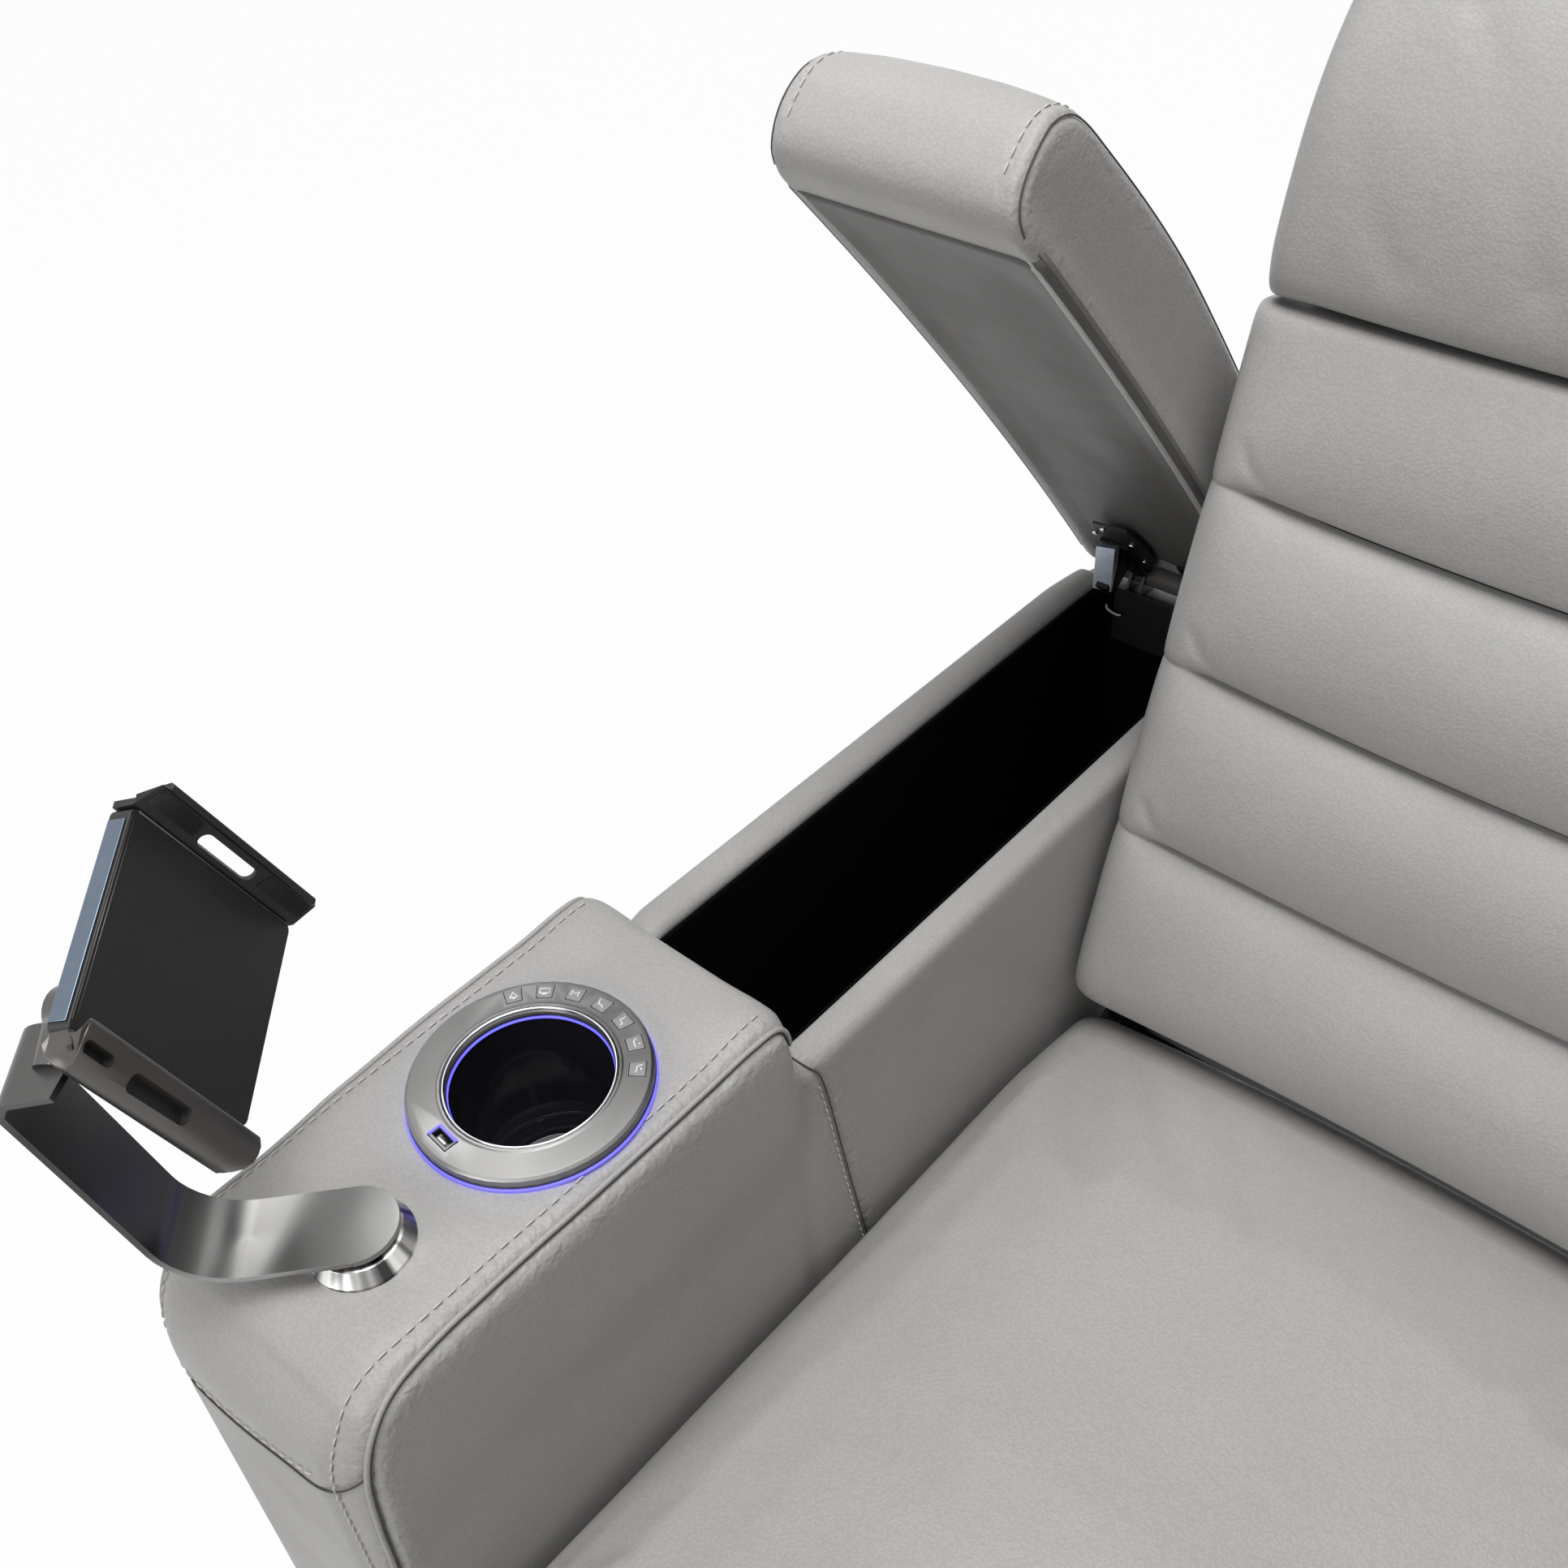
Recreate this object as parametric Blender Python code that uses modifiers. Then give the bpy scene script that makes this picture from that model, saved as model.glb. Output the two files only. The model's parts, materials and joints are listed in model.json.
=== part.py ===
"""Power recliner for a home theatre, with a lighted cup holder, storage arms and a phone holder.

Metres, +Z up. The sitter faces -Y, the sitter's right arm is on the -X side. While the chair is
built, x = 0 is the middle of the seat, y = 0 is the cup holder's centre and z = 0 is the floor.
The last step stands the whole chair on the middle of its own box.
"""

import math

import bmesh
import bpy
from mathutils import Matrix, Vector

# Fits
GAP = 0.0003              # between pieces that touch
PIN_CLEARANCE = 0.0003    # round a pin in its hole
SLIDE_CLEARANCE = 0.0004  # beside a piece that slides

# Arms
ARM_WIDTH = 0.162
ARM_BOTTOM = 0.030
ARM_TOP = 0.637
ARM_FRONT = -0.203
ARM_FRONT_FOOT = -0.223
ARM_ROLL_RADIUS = 0.062
ARM_EDGE_RADIUS = 0.011
ARM_BACK_RADIUS = 0.022
CONSOLE_BACK = 0.121
ARM_REAR = 0.682
RIM_DROP = 0.0535
WELL_WALL = 0.021
WELL_DEPTH = 0.240
WELL_REAR_WALL = 0.024
LINER_WALL = 0.003
LINER_DROP = 0.002
HINGE_NOTCH_DROP = 0.010
SEAT_WIDTH = 0.560

# Arm lids
LID_OPEN_DEG = 50.2
LID_THICKNESS = 0.064
LID_SIDE_INSET = 0.0015
LID_FRONT_GAP = 0.003
LID_NOSE_RADIUS = 0.027
LID_EDGE_RADIUS = 0.013
LID_TAIL_PAST_AXIS = 0.006
LID_CROWN = 0.007
LID_HINGE_Y = ARM_REAR - 0.014
LID_HINGE_ABOVE_RIM = 0.0065
LID_HINGE_SPREAD = 0.066
HINGE_ROD_RADIUS = 0.004
HINGE_EYE_RADIUS = 0.007
HINGE_LEAF_WIDTH = 0.024
HINGE_LEAF_LENGTH = 0.052
HINGE_LEAF_THICKNESS = 0.0025
HINGE_BOX_WIDTH = 0.012
HINGE_BOX_DROP = 0.030
UNDERBOARD_THICKNESS = 0.004
UNDERBOARD_INSET = 0.012
UNDERBOARD_FRONT_INSET = 0.052

# Cup holder
CUP_INSET_FROM_ARM_CENTRE = 0.005
RING_OUTER_RADIUS = 0.065
RING_INNER_RADIUS = 0.0447
RING_HEIGHT = 0.0055
GLOW_HEIGHT = 0.0027
GLOW_OVERHANG = 0.0014
CUP_FLANGE_RADIUS = 0.0497
CUP_RADIUS = 0.0470
CUP_BASE_RADIUS = 0.0425
CUP_WALL = 0.0022
CUP_DEPTH = 0.088
CUP_STEP_DROP = 0.066
CUP_STEP_RADIUS = 0.0365
KEY_COUNT = 7
KEY_RING_RADIUS = (RING_OUTER_RADIUS + RING_INNER_RADIUS) / 2 + 0.00145
KEY_FIRST_DEG = 42.0
KEY_PITCH_DEG = 17.7
KEY_SIZE = 0.0088
KEY_PROUD = 0.0006
KEY_THICKNESS = 0.0042
KEY_SIDE_CLEARANCE = 0.0003
USB_DEG = -94.0
USB_RADIUS = (RING_OUTER_RADIUS + RING_INNER_RADIUS) / 2 - 0.00035
USB_LENGTH = 0.0150
USB_WIDTH = 0.0078
USB_PORT_LENGTH = 0.0122
USB_PORT_WIDTH = 0.0046

# Phone holder
DISC_X = 0.010            # from the cup holder's centre, towards the seat
DISC_Y = -0.115
DISC_RADIUS = 0.026
DISC_HEIGHT = 0.0120
DISC_BEVEL_RADIUS = 0.0215
STRAP_HEADING_DEG = -132.0
STRAP_WIDTH = 0.042
STRAP_THICKNESS = 0.0034
STRAP_LIFT = 0.0030
STRAP_FLAT = 0.047
STRAP_BEND_RADIUS = 0.036
STRAP_RISE_DEG = 77.0
STRAP_RISE = 0.106
STRAP_TOP_BEND_RADIUS = 0.006
STRAP_TAB = 0.022
CRADLE_X = -0.065         # from the cup holder's centre
CRADLE_Y = -0.112
CRADLE_Z = 0.140          # above the arm's top
CRADLE_HEADING_DEG = 35.2
CRADLE_TILT_DEG = 12.5
CRADLE_ROLL_DEG = 17.8
CRADLE_LENGTH = 0.120     # along the jaws
CRADLE_HEIGHT = 0.103     # from jaw to jaw
CRADLE_THICKNESS = 0.011
CRADLE_HUB_X = -0.043
CRADLE_HUB_Y = -0.036
CRADLE_HUB_RADIUS = 0.012
JAW_REACH = 0.021
JAW_THICKNESS = 0.0035
JAW_SLOT_LENGTH = 0.036
JAW_SLOT_WIDTH = 0.0090
TONGUE_LENGTH = 0.062
TONGUE_THICKNESS = 0.0025
TONGUE_SIDE_MARGIN = 0.012
GRIP_LENGTH = 0.034
GRIP_THICKNESS = 0.0016

# Seat
CUSHION_SIDE_GAP = 0.006
CUSHION_EDGE = 0.030
SEAT_NOSE = -0.217
SEAT_REAR = 0.420
SEAT_BOX_FRONT = -0.130
SEAT_BOX_REAR = 0.398
SEAT_BOX_BOTTOM = 0.3003
SEAT_BOX_HEIGHT = 0.040
SEAT_BOX_BOARD = 0.022
SEAT_EDGE_FRONT = 0.418
SEAT_EDGE_REAR = 0.382
SEAT_CROWN = 0.030
WEBBING_THICKNESS = 0.0020
WEBBING_WIDTH = 0.045

# Back, in its own upright frame: v up from the pivot, +y to the rear
BACK_PIVOT_Y = 0.455
BACK_PIVOT_Z = 0.345
BACK_LEAN_DEG = 17.6
BACK_PIN_RADIUS = 0.0085
BACK_SEAM_DEPTH = 0.072   # the seams lie this far in front of the pivot
BACK_ROLL_PITCH = 0.117
BACK_ROLL_COUNT = 3       # equal rolls above the tall bottom one
BACK_BOTTOM = 0.034
BACK_FIRST_SEAM = 0.202
ROLL_BULGE = 0.024
BACK_CUSHION_REAR = -0.004
FRAME_DEPTH = 0.026
FRAME_TUBE = 0.026
COVER_DEPTH = 0.024
COVER_WALL = 0.010
HEADREST_HEIGHT = 0.222
HEADREST_DEPTH = 0.096
HEAD_PLATE_INSET = 0.084
HEAD_AXIS_FORWARD = 0.062
HEAD_AXIS_UP = 0.014

# Steel frame and footrest linkage, side view positions (y, z)
SIDE_PLATE_X = SEAT_WIDTH / 2 - 0.018
PLATE_THICKNESS = 0.004
PLATE_NOSE = 0.022        # ahead of the drive pivot
LAYER_STEP = 0.006
RAIL_WIDTH = 0.022
RAIL_HEIGHT = 0.030
RAIL_BOTTOM = 0.045
RAIL_FRONT = 0.045
RAIL_REAR = ARM_REAR - 0.014
CROSS_TUBE_SETBACK = 0.105
DRIVE_PIVOT = (-0.100, 0.268)
SWING_PIVOT = (-0.060, 0.2617)
LINK_LENGTH = 0.195
DRIVE_TAIL = 0.025
SCISSOR_TAIL = 0.045
LINK_WIDTH = 0.020
LINK_PIN_RADIUS = 0.005
SWING_KNEE = 0.045        # the swing link bows round the drive tube
SWING_BOW = 0.019
TORQUE_TUBE_RADIUS = 0.0125
PAD_PIVOT = (-0.135, 0.140)
STAY_PIVOT_DROP = 0.0523
PAD_FRONT = -0.217
PAD_BACK = -0.150
PAD_BOTTOM = 0.095
PAD_TOP = 0.338
PAD_BOARD = 0.012
PAD_EDGE = 0.022
PAD_CLEARANCE = 0.004
LEVER_LENGTH = 0.105
LEVER_REST_DEG = 6.0      # behind plumb while the back is upright
ACTUATOR_ROD_RADIUS = 0.009
ACTUATOR_TUBE_RADIUS = 0.019
ACTUATOR_ROD_LENGTH = 0.150
ACTUATOR_ROD_INSIDE = 0.108
ACTUATOR_BODY_LENGTH = 0.155
MOTOR_HALF_WIDTH = 0.030
MOTOR_BARREL_LENGTH = 0.075
MOTOR_BARREL_RADIUS = 0.020
RECLINE_DEG = 42.0
FOOT_RADIUS = 0.022
FOOT_INSET_Y = 0.070

# Values that follow from the ones above
SEAT_HALF = SEAT_WIDTH / 2
ARM_HALF = ARM_WIDTH / 2
ARM_CENTRE = SEAT_HALF + ARM_HALF
RIM_Z = ARM_TOP - RIM_DROP
CUSHION_HALF = SEAT_HALF - CUSHION_SIDE_GAP
LID_HINGE_Z = RIM_Z + LID_HINGE_ABOVE_RIM
LID_BOTTOM = RIM_Z + GAP
LID_FRONT = CONSOLE_BACK + LID_FRONT_GAP
LID_REAR = LID_HINGE_Y + LID_TAIL_PAST_AXIS
RING_BOTTOM = ARM_TOP + GAP + GLOW_HEIGHT + GAP
RING_TOP = RING_BOTTOM + RING_HEIGHT
SEAT_BOX_TOP = SEAT_BOX_BOTTOM + SEAT_BOX_HEIGHT
CUSHION_BOTTOM = SEAT_BOX_TOP + WEBBING_THICKNESS + 2 * GAP
BACK_TOP_SEAM = BACK_FIRST_SEAM + BACK_ROLL_COUNT * BACK_ROLL_PITCH
BACK_TOP = BACK_TOP_SEAM + HEADREST_HEIGHT

COLOURS = {
    "leather": ((0.43, 0.42, 0.41), 0.45, 0.0),
    "felt": ((0.01, 0.01, 0.01), 0.95, 0.0),
    "lining": ((0.20, 0.20, 0.20), 0.8, 0.0),
    "nickel": ((0.36, 0.36, 0.35), 0.35, 1.0),
    "steel": ((0.05, 0.05, 0.055), 0.45, 0.6),
    "chrome": ((0.6, 0.6, 0.62), 0.12, 1.0),
    "gloss_black": ((0.01, 0.01, 0.012), 0.1, 0.0),
    "matte_black": ((0.02, 0.02, 0.02), 0.6, 0.0),
    "glow": ((0.15, 0.15, 0.9), 0.4, 0.0),
    "wood": ((0.5, 0.36, 0.2), 0.6, 0.0),
}


def clear_scene():
    for thing in list(bpy.data.objects):
        bpy.data.objects.remove(thing, do_unlink=True)


def new_collection(name):
    group = bpy.data.collections.new(name)
    bpy.context.scene.collection.children.link(group)
    return group


clear_scene()
PARTS = new_collection("power_recliner")
CUTTERS = new_collection("cutters")


def material(kind):
    found = bpy.data.materials.get(kind)
    if found:
        return found
    colour, roughness, metallic = COLOURS[kind]
    made = bpy.data.materials.new(kind)
    made.use_nodes = True
    shader = made.node_tree.nodes["Principled BSDF"]
    shader.inputs["Base Color"].default_value = (*colour, 1.0)
    shader.inputs["Roughness"].default_value = roughness
    shader.inputs["Metallic"].default_value = metallic
    return made


def add_object(name, mesh, kind):
    thing = bpy.data.objects.new(name, mesh)
    PARTS.objects.link(thing)
    mesh.materials.clear()
    mesh.materials.append(material(kind))
    return thing


def mesh_from(name, maker):
    """A mesh filled by maker(bm)."""
    mesh = bpy.data.meshes.new(name)
    bm = bmesh.new()
    maker(bm)
    bmesh.ops.recalc_face_normals(bm, faces=bm.faces)
    bm.to_mesh(mesh)
    bm.free()
    return mesh


def pivot(name, position, tilt_deg=0.0, parent=None):
    """An empty on a joint's axis; a positive tilt leans what it carries backwards."""
    empty = bpy.data.objects.new(name, None)
    PARTS.objects.link(empty)
    empty.location = Vector(position)
    empty.rotation_euler.x = -math.radians(tilt_deg)
    empty.parent = parent or CHAIR
    return empty


CHAIR = bpy.data.objects.new("chair", None)
PARTS.objects.link(CHAIR)


def carry(things, parent=None, origin=(0, 0, 0)):
    """Parents pieces whose meshes are written in the untilted position round origin."""
    for thing in things if isinstance(things, (list, tuple)) else [things]:
        thing.parent = parent or CHAIR
        thing.matrix_parent_inverse = Matrix.Translation(-Vector(origin))
    return things


def block(name, low, high, kind="steel", bevel=0.0, segments=2):
    """A box between two corners, its edges rounded when bevel is set."""
    low, high = Vector(low), Vector(high)
    size, middle = high - low, (high + low) / 2

    def maker(bm):
        bmesh.ops.create_cube(bm, size=1.0)
        for corner in bm.verts:
            corner.co = Vector((corner.co.x * size.x, corner.co.y * size.y, corner.co.z * size.z)) + middle

    thing = add_object(name, mesh_from(name, maker), kind)
    if bevel:
        rounding = thing.modifiers.new("round", "BEVEL")
        rounding.width = bevel
        rounding.segments = segments
    return thing


def rod(name, start, end, radius, kind="steel", sides=20):
    """A plain cylinder between two points."""
    start, end = Vector(start), Vector(end)
    along = end - start
    turn = along.to_track_quat("Z", "Y").to_matrix().to_4x4()
    place = Matrix.Translation((start + end) / 2) @ turn

    def maker(bm):
        bmesh.ops.create_cone(bm, cap_ends=True, segments=sides, radius1=radius, radius2=radius,
                              depth=along.length, matrix=place)

    return add_object(name, mesh_from(name, maker), kind)


def turned(name, profile, centre, kind, steps=48, closed=True):
    """A profile of (radius, height) points, outer side running down, turned round +Z."""
    def maker(bm):
        points = [bm.verts.new((radius, 0, height)) for radius, height in profile]
        for first, second in zip(points, points[1:]):
            bm.edges.new((first, second))
        if closed:
            bm.edges.new((points[-1], points[0]))

    mesh = bpy.data.meshes.new(name)
    bm = bmesh.new()
    maker(bm)
    bm.to_mesh(mesh)
    bm.free()
    thing = add_object(name, mesh, kind)
    spin = thing.modifiers.new("turn", "SCREW")
    spin.steps = steps
    spin.render_steps = steps
    spin.use_merge_vertices = True
    spin.merge_threshold = 0.00001
    thing.location = centre
    return settle(thing)


def settle(thing):
    """Replaces an object by its evaluated mesh, written in its parent's coordinates."""
    bpy.context.view_layer.update()
    graph = bpy.context.evaluated_depsgraph_get()
    mesh = bpy.data.meshes.new_from_object(thing.evaluated_get(graph))
    mesh.transform(thing.matrix_world)
    bm = bmesh.new()
    bm.from_mesh(mesh)
    bmesh.ops.remove_doubles(bm, verts=bm.verts, dist=0.000005)
    bmesh.ops.recalc_face_normals(bm, faces=bm.faces)
    bm.to_mesh(mesh)
    bm.free()
    name = thing.name
    finish = thing.data.materials[0] if thing.data.materials else None
    bpy.data.objects.remove(thing, do_unlink=True)
    fresh = bpy.data.objects.new(name, mesh)
    PARTS.objects.link(fresh)
    mesh.materials.clear()
    mesh.materials.append(finish)
    return fresh


def arc(centre, radius, start_deg, end_deg, count):
    """Points on an arc of a side view, angles from +Y towards +Z."""
    steps = [math.radians(start_deg + (end_deg - start_deg) * i / count) for i in range(count + 1)]
    return [(centre[0] + radius * math.cos(a), centre[1] + radius * math.sin(a)) for a in steps]


def filleted(corners, count=4):
    """An outline of (a, b, radius) corners as points, each corner rounded by its radius."""
    points = []
    total = len(corners)
    for i, (a, b, radius) in enumerate(corners):
        here = Vector((a, b))
        before = (Vector(corners[i - 1][:2]) - here).normalized()
        after = (Vector(corners[(i + 1) % total][:2]) - here).normalized()
        if radius <= 0:
            points.append((a, b))
            continue
        half = before.angle(after) / 2
        middle = here + (before + after).normalized() * (radius / math.sin(half))
        start = here + before * (radius / math.tan(half)) - middle
        end = here + after * (radius / math.tan(half)) - middle
        first = math.atan2(start.y, start.x)
        sweep = (math.atan2(end.y, end.x) - first + math.pi) % (2 * math.pi) - math.pi
        for k in range(count + 1):
            angle = first + sweep * k / count
            points.append((middle.x + radius * math.cos(angle), middle.y + radius * math.sin(angle)))
    return points


def slab(name, outline, low, high, kind="steel", rounding=0.0, axis="X"):
    """A flat outline given thickness from low to high along an axis, its rims rounded.

    For axis X the outline holds (y, z) points, for axis Z it holds (x, y) points.
    """
    curve = bpy.data.curves.new(name, "CURVE")
    curve.dimensions = "2D"
    curve.fill_mode = "BOTH"
    curve.extrude = (high - low) / 2 - rounding
    curve.bevel_depth = rounding
    curve.bevel_resolution = 1
    curve.offset = -rounding
    spline = curve.splines.new("POLY")
    spline.points.add(len(outline) - 1)
    for point, (a, b) in zip(spline.points, outline):
        point.co = (a, b, 0, 1)
    spline.use_cyclic_u = True
    thing = bpy.data.objects.new(name, curve)
    PARTS.objects.link(thing)
    curve.materials.append(material(kind))
    middle = (low + high) / 2
    if axis == "X":
        turn = Matrix(((0, 0, 1, middle), (1, 0, 0, 0), (0, 1, 0, 0), (0, 0, 0, 1)))
    else:
        turn = Matrix.Translation((0, 0, middle))
    thing.matrix_world = turn
    return settle(thing)


def loft(name, rings, kind):
    """A closed skin over rings of equally many points, with flat ends."""
    def maker(bm):
        rows = [[bm.verts.new(point) for point in ring] for ring in rings]
        count = len(rows[0])
        for first, second in zip(rows, rows[1:]):
            for i in range(count):
                j = (i + 1) % count
                bm.faces.new((first[i], first[j], second[j], second[i]))
        bm.faces.new(rows[0])
        bm.faces.new(rows[-1][::-1])

    return add_object(name, mesh_from(name, maker), kind)


def combine(thing, others, operation="UNION"):
    """Joins or cuts thing with other solids, which become hidden guides."""
    for i, other in enumerate(others):
        step = thing.modifiers.new(f"{operation.lower()}_{i}", "BOOLEAN")
        step.operation = operation
        step.solver = "EXACT"
        step.object = other
        for group in list(other.users_collection):
            group.objects.unlink(other)
        CUTTERS.objects.link(other)
        other.hide_render = True
        other.display_type = "WIRE"
        other.parent = thing
    return thing


def cut(thing, others):
    return combine(thing, others, "DIFFERENCE")


def fuse(thing, others):
    return combine(thing, others, "UNION")


def cushion_places(half, edge, middle=6, corner=5):
    """Places across a cushion as (x, across, draw): across runs -1 to 1, draw 0 to 1 round its side edges."""
    flat = half - edge
    places = [(-flat + 2 * flat * i / middle, 0.0) for i in range(middle + 1)]
    for i in range(1, corner + 1):
        turn = math.pi / 2 * i / corner
        x, draw = flat + edge * math.sin(turn), 1 - math.cos(turn)
        places = [(-x, draw)] + places + [(x, draw)]
    return [(x, x / half, draw) for x, draw in places]


def arm_x(side, inward):
    """World x of a place in an arm, inward being its distance from the arm's middle to the seat."""
    return side * (ARM_CENTRE - inward)


def ordered(a, b):
    return min(a, b), max(a, b)


# Upholstered arms

def make_arm(side, word):
    """Console block, storage box and felt liner of one arm, side -1 being the sitter's right."""
    low, high = ordered(arm_x(side, -ARM_HALF), arm_x(side, ARM_HALF))
    outline = filleted([
        (ARM_FRONT_FOOT, ARM_BOTTOM, 0.008),
        (CONSOLE_BACK, ARM_BOTTOM, 0),
        (CONSOLE_BACK, ARM_TOP, ARM_EDGE_RADIUS),
        (ARM_FRONT, ARM_TOP, ARM_ROLL_RADIUS),
    ], 6)
    console = slab(f"{word}_arm_console", outline, low, high, "leather", ARM_EDGE_RADIUS)
    cup_x = arm_x(side, CUP_INSET_FROM_ARM_CENTRE)
    hole_floor = ARM_TOP - CUP_DEPTH - 0.006
    hole = rod(f"{word}_cup_hole", (cup_x, 0, hole_floor), (cup_x, 0, ARM_TOP + 0.02),
               CUP_RADIUS + 2 * GAP, sides=36)
    cut(console, [hole])

    well_front = CONSOLE_BACK + 0.002
    well_rear = ARM_REAR - WELL_REAR_WALL
    well_floor = RIM_Z - WELL_DEPTH
    start = CONSOLE_BACK + GAP
    outline = filleted([
        (start, ARM_BOTTOM, 0),
        (ARM_REAR, ARM_BOTTOM, 0.008),
        (ARM_REAR, RIM_Z, ARM_BACK_RADIUS),
        (start, RIM_Z, 0),
    ], 4)
    box = slab(f"{word}_arm_storage_box", outline, low, high, "leather", 0.006)
    inner_low, inner_high = low + WELL_WALL, high - WELL_WALL
    well = block(f"{word}_well", (inner_low, start - 0.01, well_floor),
                 (inner_high, well_rear, ARM_TOP + 0.05))
    notch = block(f"{word}_hinge_notch", (low - 0.01, well_rear - LINER_WALL - GAP, RIM_Z - HINGE_NOTCH_DROP),
                  (high + 0.01, ARM_REAR + 0.02, ARM_TOP))
    liner_notch = block(f"{word}_liner_notch", (low, well_rear - LINER_WALL - 0.005,
                                                RIM_Z - HINGE_NOTCH_DROP),
                        (high, ARM_REAR, ARM_TOP))
    cut(box, [well, notch])

    liner = block(f"{word}_storage_liner", (inner_low + GAP, well_front, well_floor + GAP),
                  (inner_high - GAP, well_rear - GAP, RIM_Z - LINER_DROP), "felt")
    hollow = block(f"{word}_liner_hollow",
                   (inner_low + GAP + LINER_WALL, well_front + LINER_WALL, well_floor + GAP + LINER_WALL),
                   (inner_high - GAP - LINER_WALL, well_rear - GAP - LINER_WALL, ARM_TOP))
    cut(liner, [hollow, liner_notch])
    carry([console, box, liner])
    make_cup_holder(side, word, cup_x)
    make_lid(side, word, low, high)


def make_lid(side, word, low, high):
    """Padded lid, its underboard, the hinge that swings and the bracket that stays."""
    axis = (0, LID_HINGE_Y, LID_HINGE_Z)
    tilt = LID_OPEN_DEG if side < 0 else 0.0
    hinge = pivot(f"{word}_lid_axis", axis, tilt)
    middle_x = (low + high) / 2
    half = ARM_HALF - LID_SIDE_INSET
    board_top = LID_BOTTOM + UNDERBOARD_THICKNESS
    notch_half = LID_HINGE_SPREAD / 2 + HINGE_LEAF_WIDTH
    notch_front = LID_HINGE_Y - 0.022

    outline = filleted([
        (LID_FRONT, LID_BOTTOM, LID_NOSE_RADIUS * 0.8),
        (LID_REAR, LID_BOTTOM, 0.004),
        (LID_REAR, LID_BOTTOM + LID_THICKNESS, 0.018),
        (LID_FRONT, LID_BOTTOM + LID_THICKNESS, LID_NOSE_RADIUS),
    ], 5)
    top = LID_BOTTOM + LID_THICKNESS
    centre_y, centre_z = (LID_FRONT + LID_REAR) / 2, LID_BOTTOM + LID_THICKNESS / 2
    rings = []
    for x, across, draw in cushion_places(half, LID_EDGE_RADIUS, 4, 4):
        inset = LID_EDGE_RADIUS * draw
        crown = LID_CROWN * (1 - across ** 2)
        ring = []
        for y, z in outline:
            near_top = max(0.0, (z - centre_z) / (top - centre_z))
            y_new = y - math.copysign(inset, y - centre_y)
            z_new = z - math.copysign(inset, z - centre_z) if z > centre_z else z + inset * 0.35
            ring.append((middle_x + x, y_new, z_new + crown * near_top))
        rings.append(ring)
    pad = loft(f"{word}_arm_lid", rings, "leather")
    pocket = block(f"{word}_board_pocket", (low + UNDERBOARD_INSET - GAP,
                                            LID_FRONT + UNDERBOARD_FRONT_INSET - GAP,
                                            LID_BOTTOM - 0.01),
                   (high - UNDERBOARD_INSET + GAP, LID_REAR + 0.01, board_top + GAP))
    hinge_room = block(f"{word}_hinge_room", (middle_x - notch_half, notch_front, LID_BOTTOM - 0.01),
                       (middle_x + notch_half, LID_REAR + 0.01, LID_HINGE_Z + HINGE_EYE_RADIUS + 0.004))
    cut(pad, [pocket, hinge_room])

    board = block(f"{word}_lid_underboard", (low + UNDERBOARD_INSET, LID_FRONT + UNDERBOARD_FRONT_INSET,
                                             LID_BOTTOM),
                  (high - UNDERBOARD_INSET, LID_REAR - 0.001, board_top), "lining")
    board_room = block(f"{word}_board_room", (middle_x - notch_half, notch_front, LID_BOTTOM - 0.01),
                       (middle_x + notch_half, LID_REAR + 0.01, board_top + 0.01))
    cut(board, [board_room])

    swing = make_lid_hinge(word, middle_x, notch_front)
    carry([pad, board, swing], hinge, axis)
    carry(make_lid_bracket(word, middle_x))


def hinge_places(middle_x):
    return [middle_x + way * LID_HINGE_SPREAD / 2 for way in (-1, 1)]


def make_lid_hinge(word, middle_x, leaf_rear):
    """Two sprung hinge leaves under the lid, joined by the rod that they turn on."""
    reach = LID_HINGE_SPREAD / 2 + HINGE_LEAF_WIDTH / 2
    leaf_top = LID_BOTTOM - GAP
    leaf_low = leaf_top - HINGE_LEAF_THICKNESS
    swing = rod(f"{word}_lid_hinge", (middle_x - reach, LID_HINGE_Y, LID_HINGE_Z),
                (middle_x + reach, LID_HINGE_Y, LID_HINGE_Z), HINGE_ROD_RADIUS, "chrome")
    extras = []
    for i, x in enumerate(hinge_places(middle_x)):
        half = HINGE_LEAF_WIDTH / 2
        extras.append(block(f"{word}_leaf_{i}", (x - half, leaf_rear - HINGE_LEAF_LENGTH, leaf_low),
                            (x + half, LID_HINGE_Y - 0.0175, leaf_top)))
        arm = filleted([
            (LID_HINGE_Y - 0.0215, leaf_low + 0.0005, 0),
            (LID_HINGE_Y - 0.0215, leaf_top - 0.0005, 0),
            (LID_HINGE_Y - 0.012, LID_HINGE_Z + HINGE_EYE_RADIUS, 0.004),
            (LID_HINGE_Y + 0.003, LID_HINGE_Z + HINGE_EYE_RADIUS, 0.004),
            (LID_HINGE_Y + 0.006, LID_HINGE_Z - 0.004, 0.004),
            (LID_HINGE_Y - 0.010, leaf_low + 0.0005, 0),
        ], 2)
        extras.append(slab(f"{word}_eye_{i}", arm, x - 0.004, x + 0.004))
        box_half = HINGE_BOX_WIDTH / 2
        extras.append(block(f"{word}_spring_box_{i}",
                            (x - box_half, LID_HINGE_Y - 0.058, leaf_low - HINGE_BOX_DROP),
                            (x + box_half, LID_HINGE_Y - 0.042, leaf_low + 0.001), bevel=0.0012, segments=1))
    return fuse(swing, extras)


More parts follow.
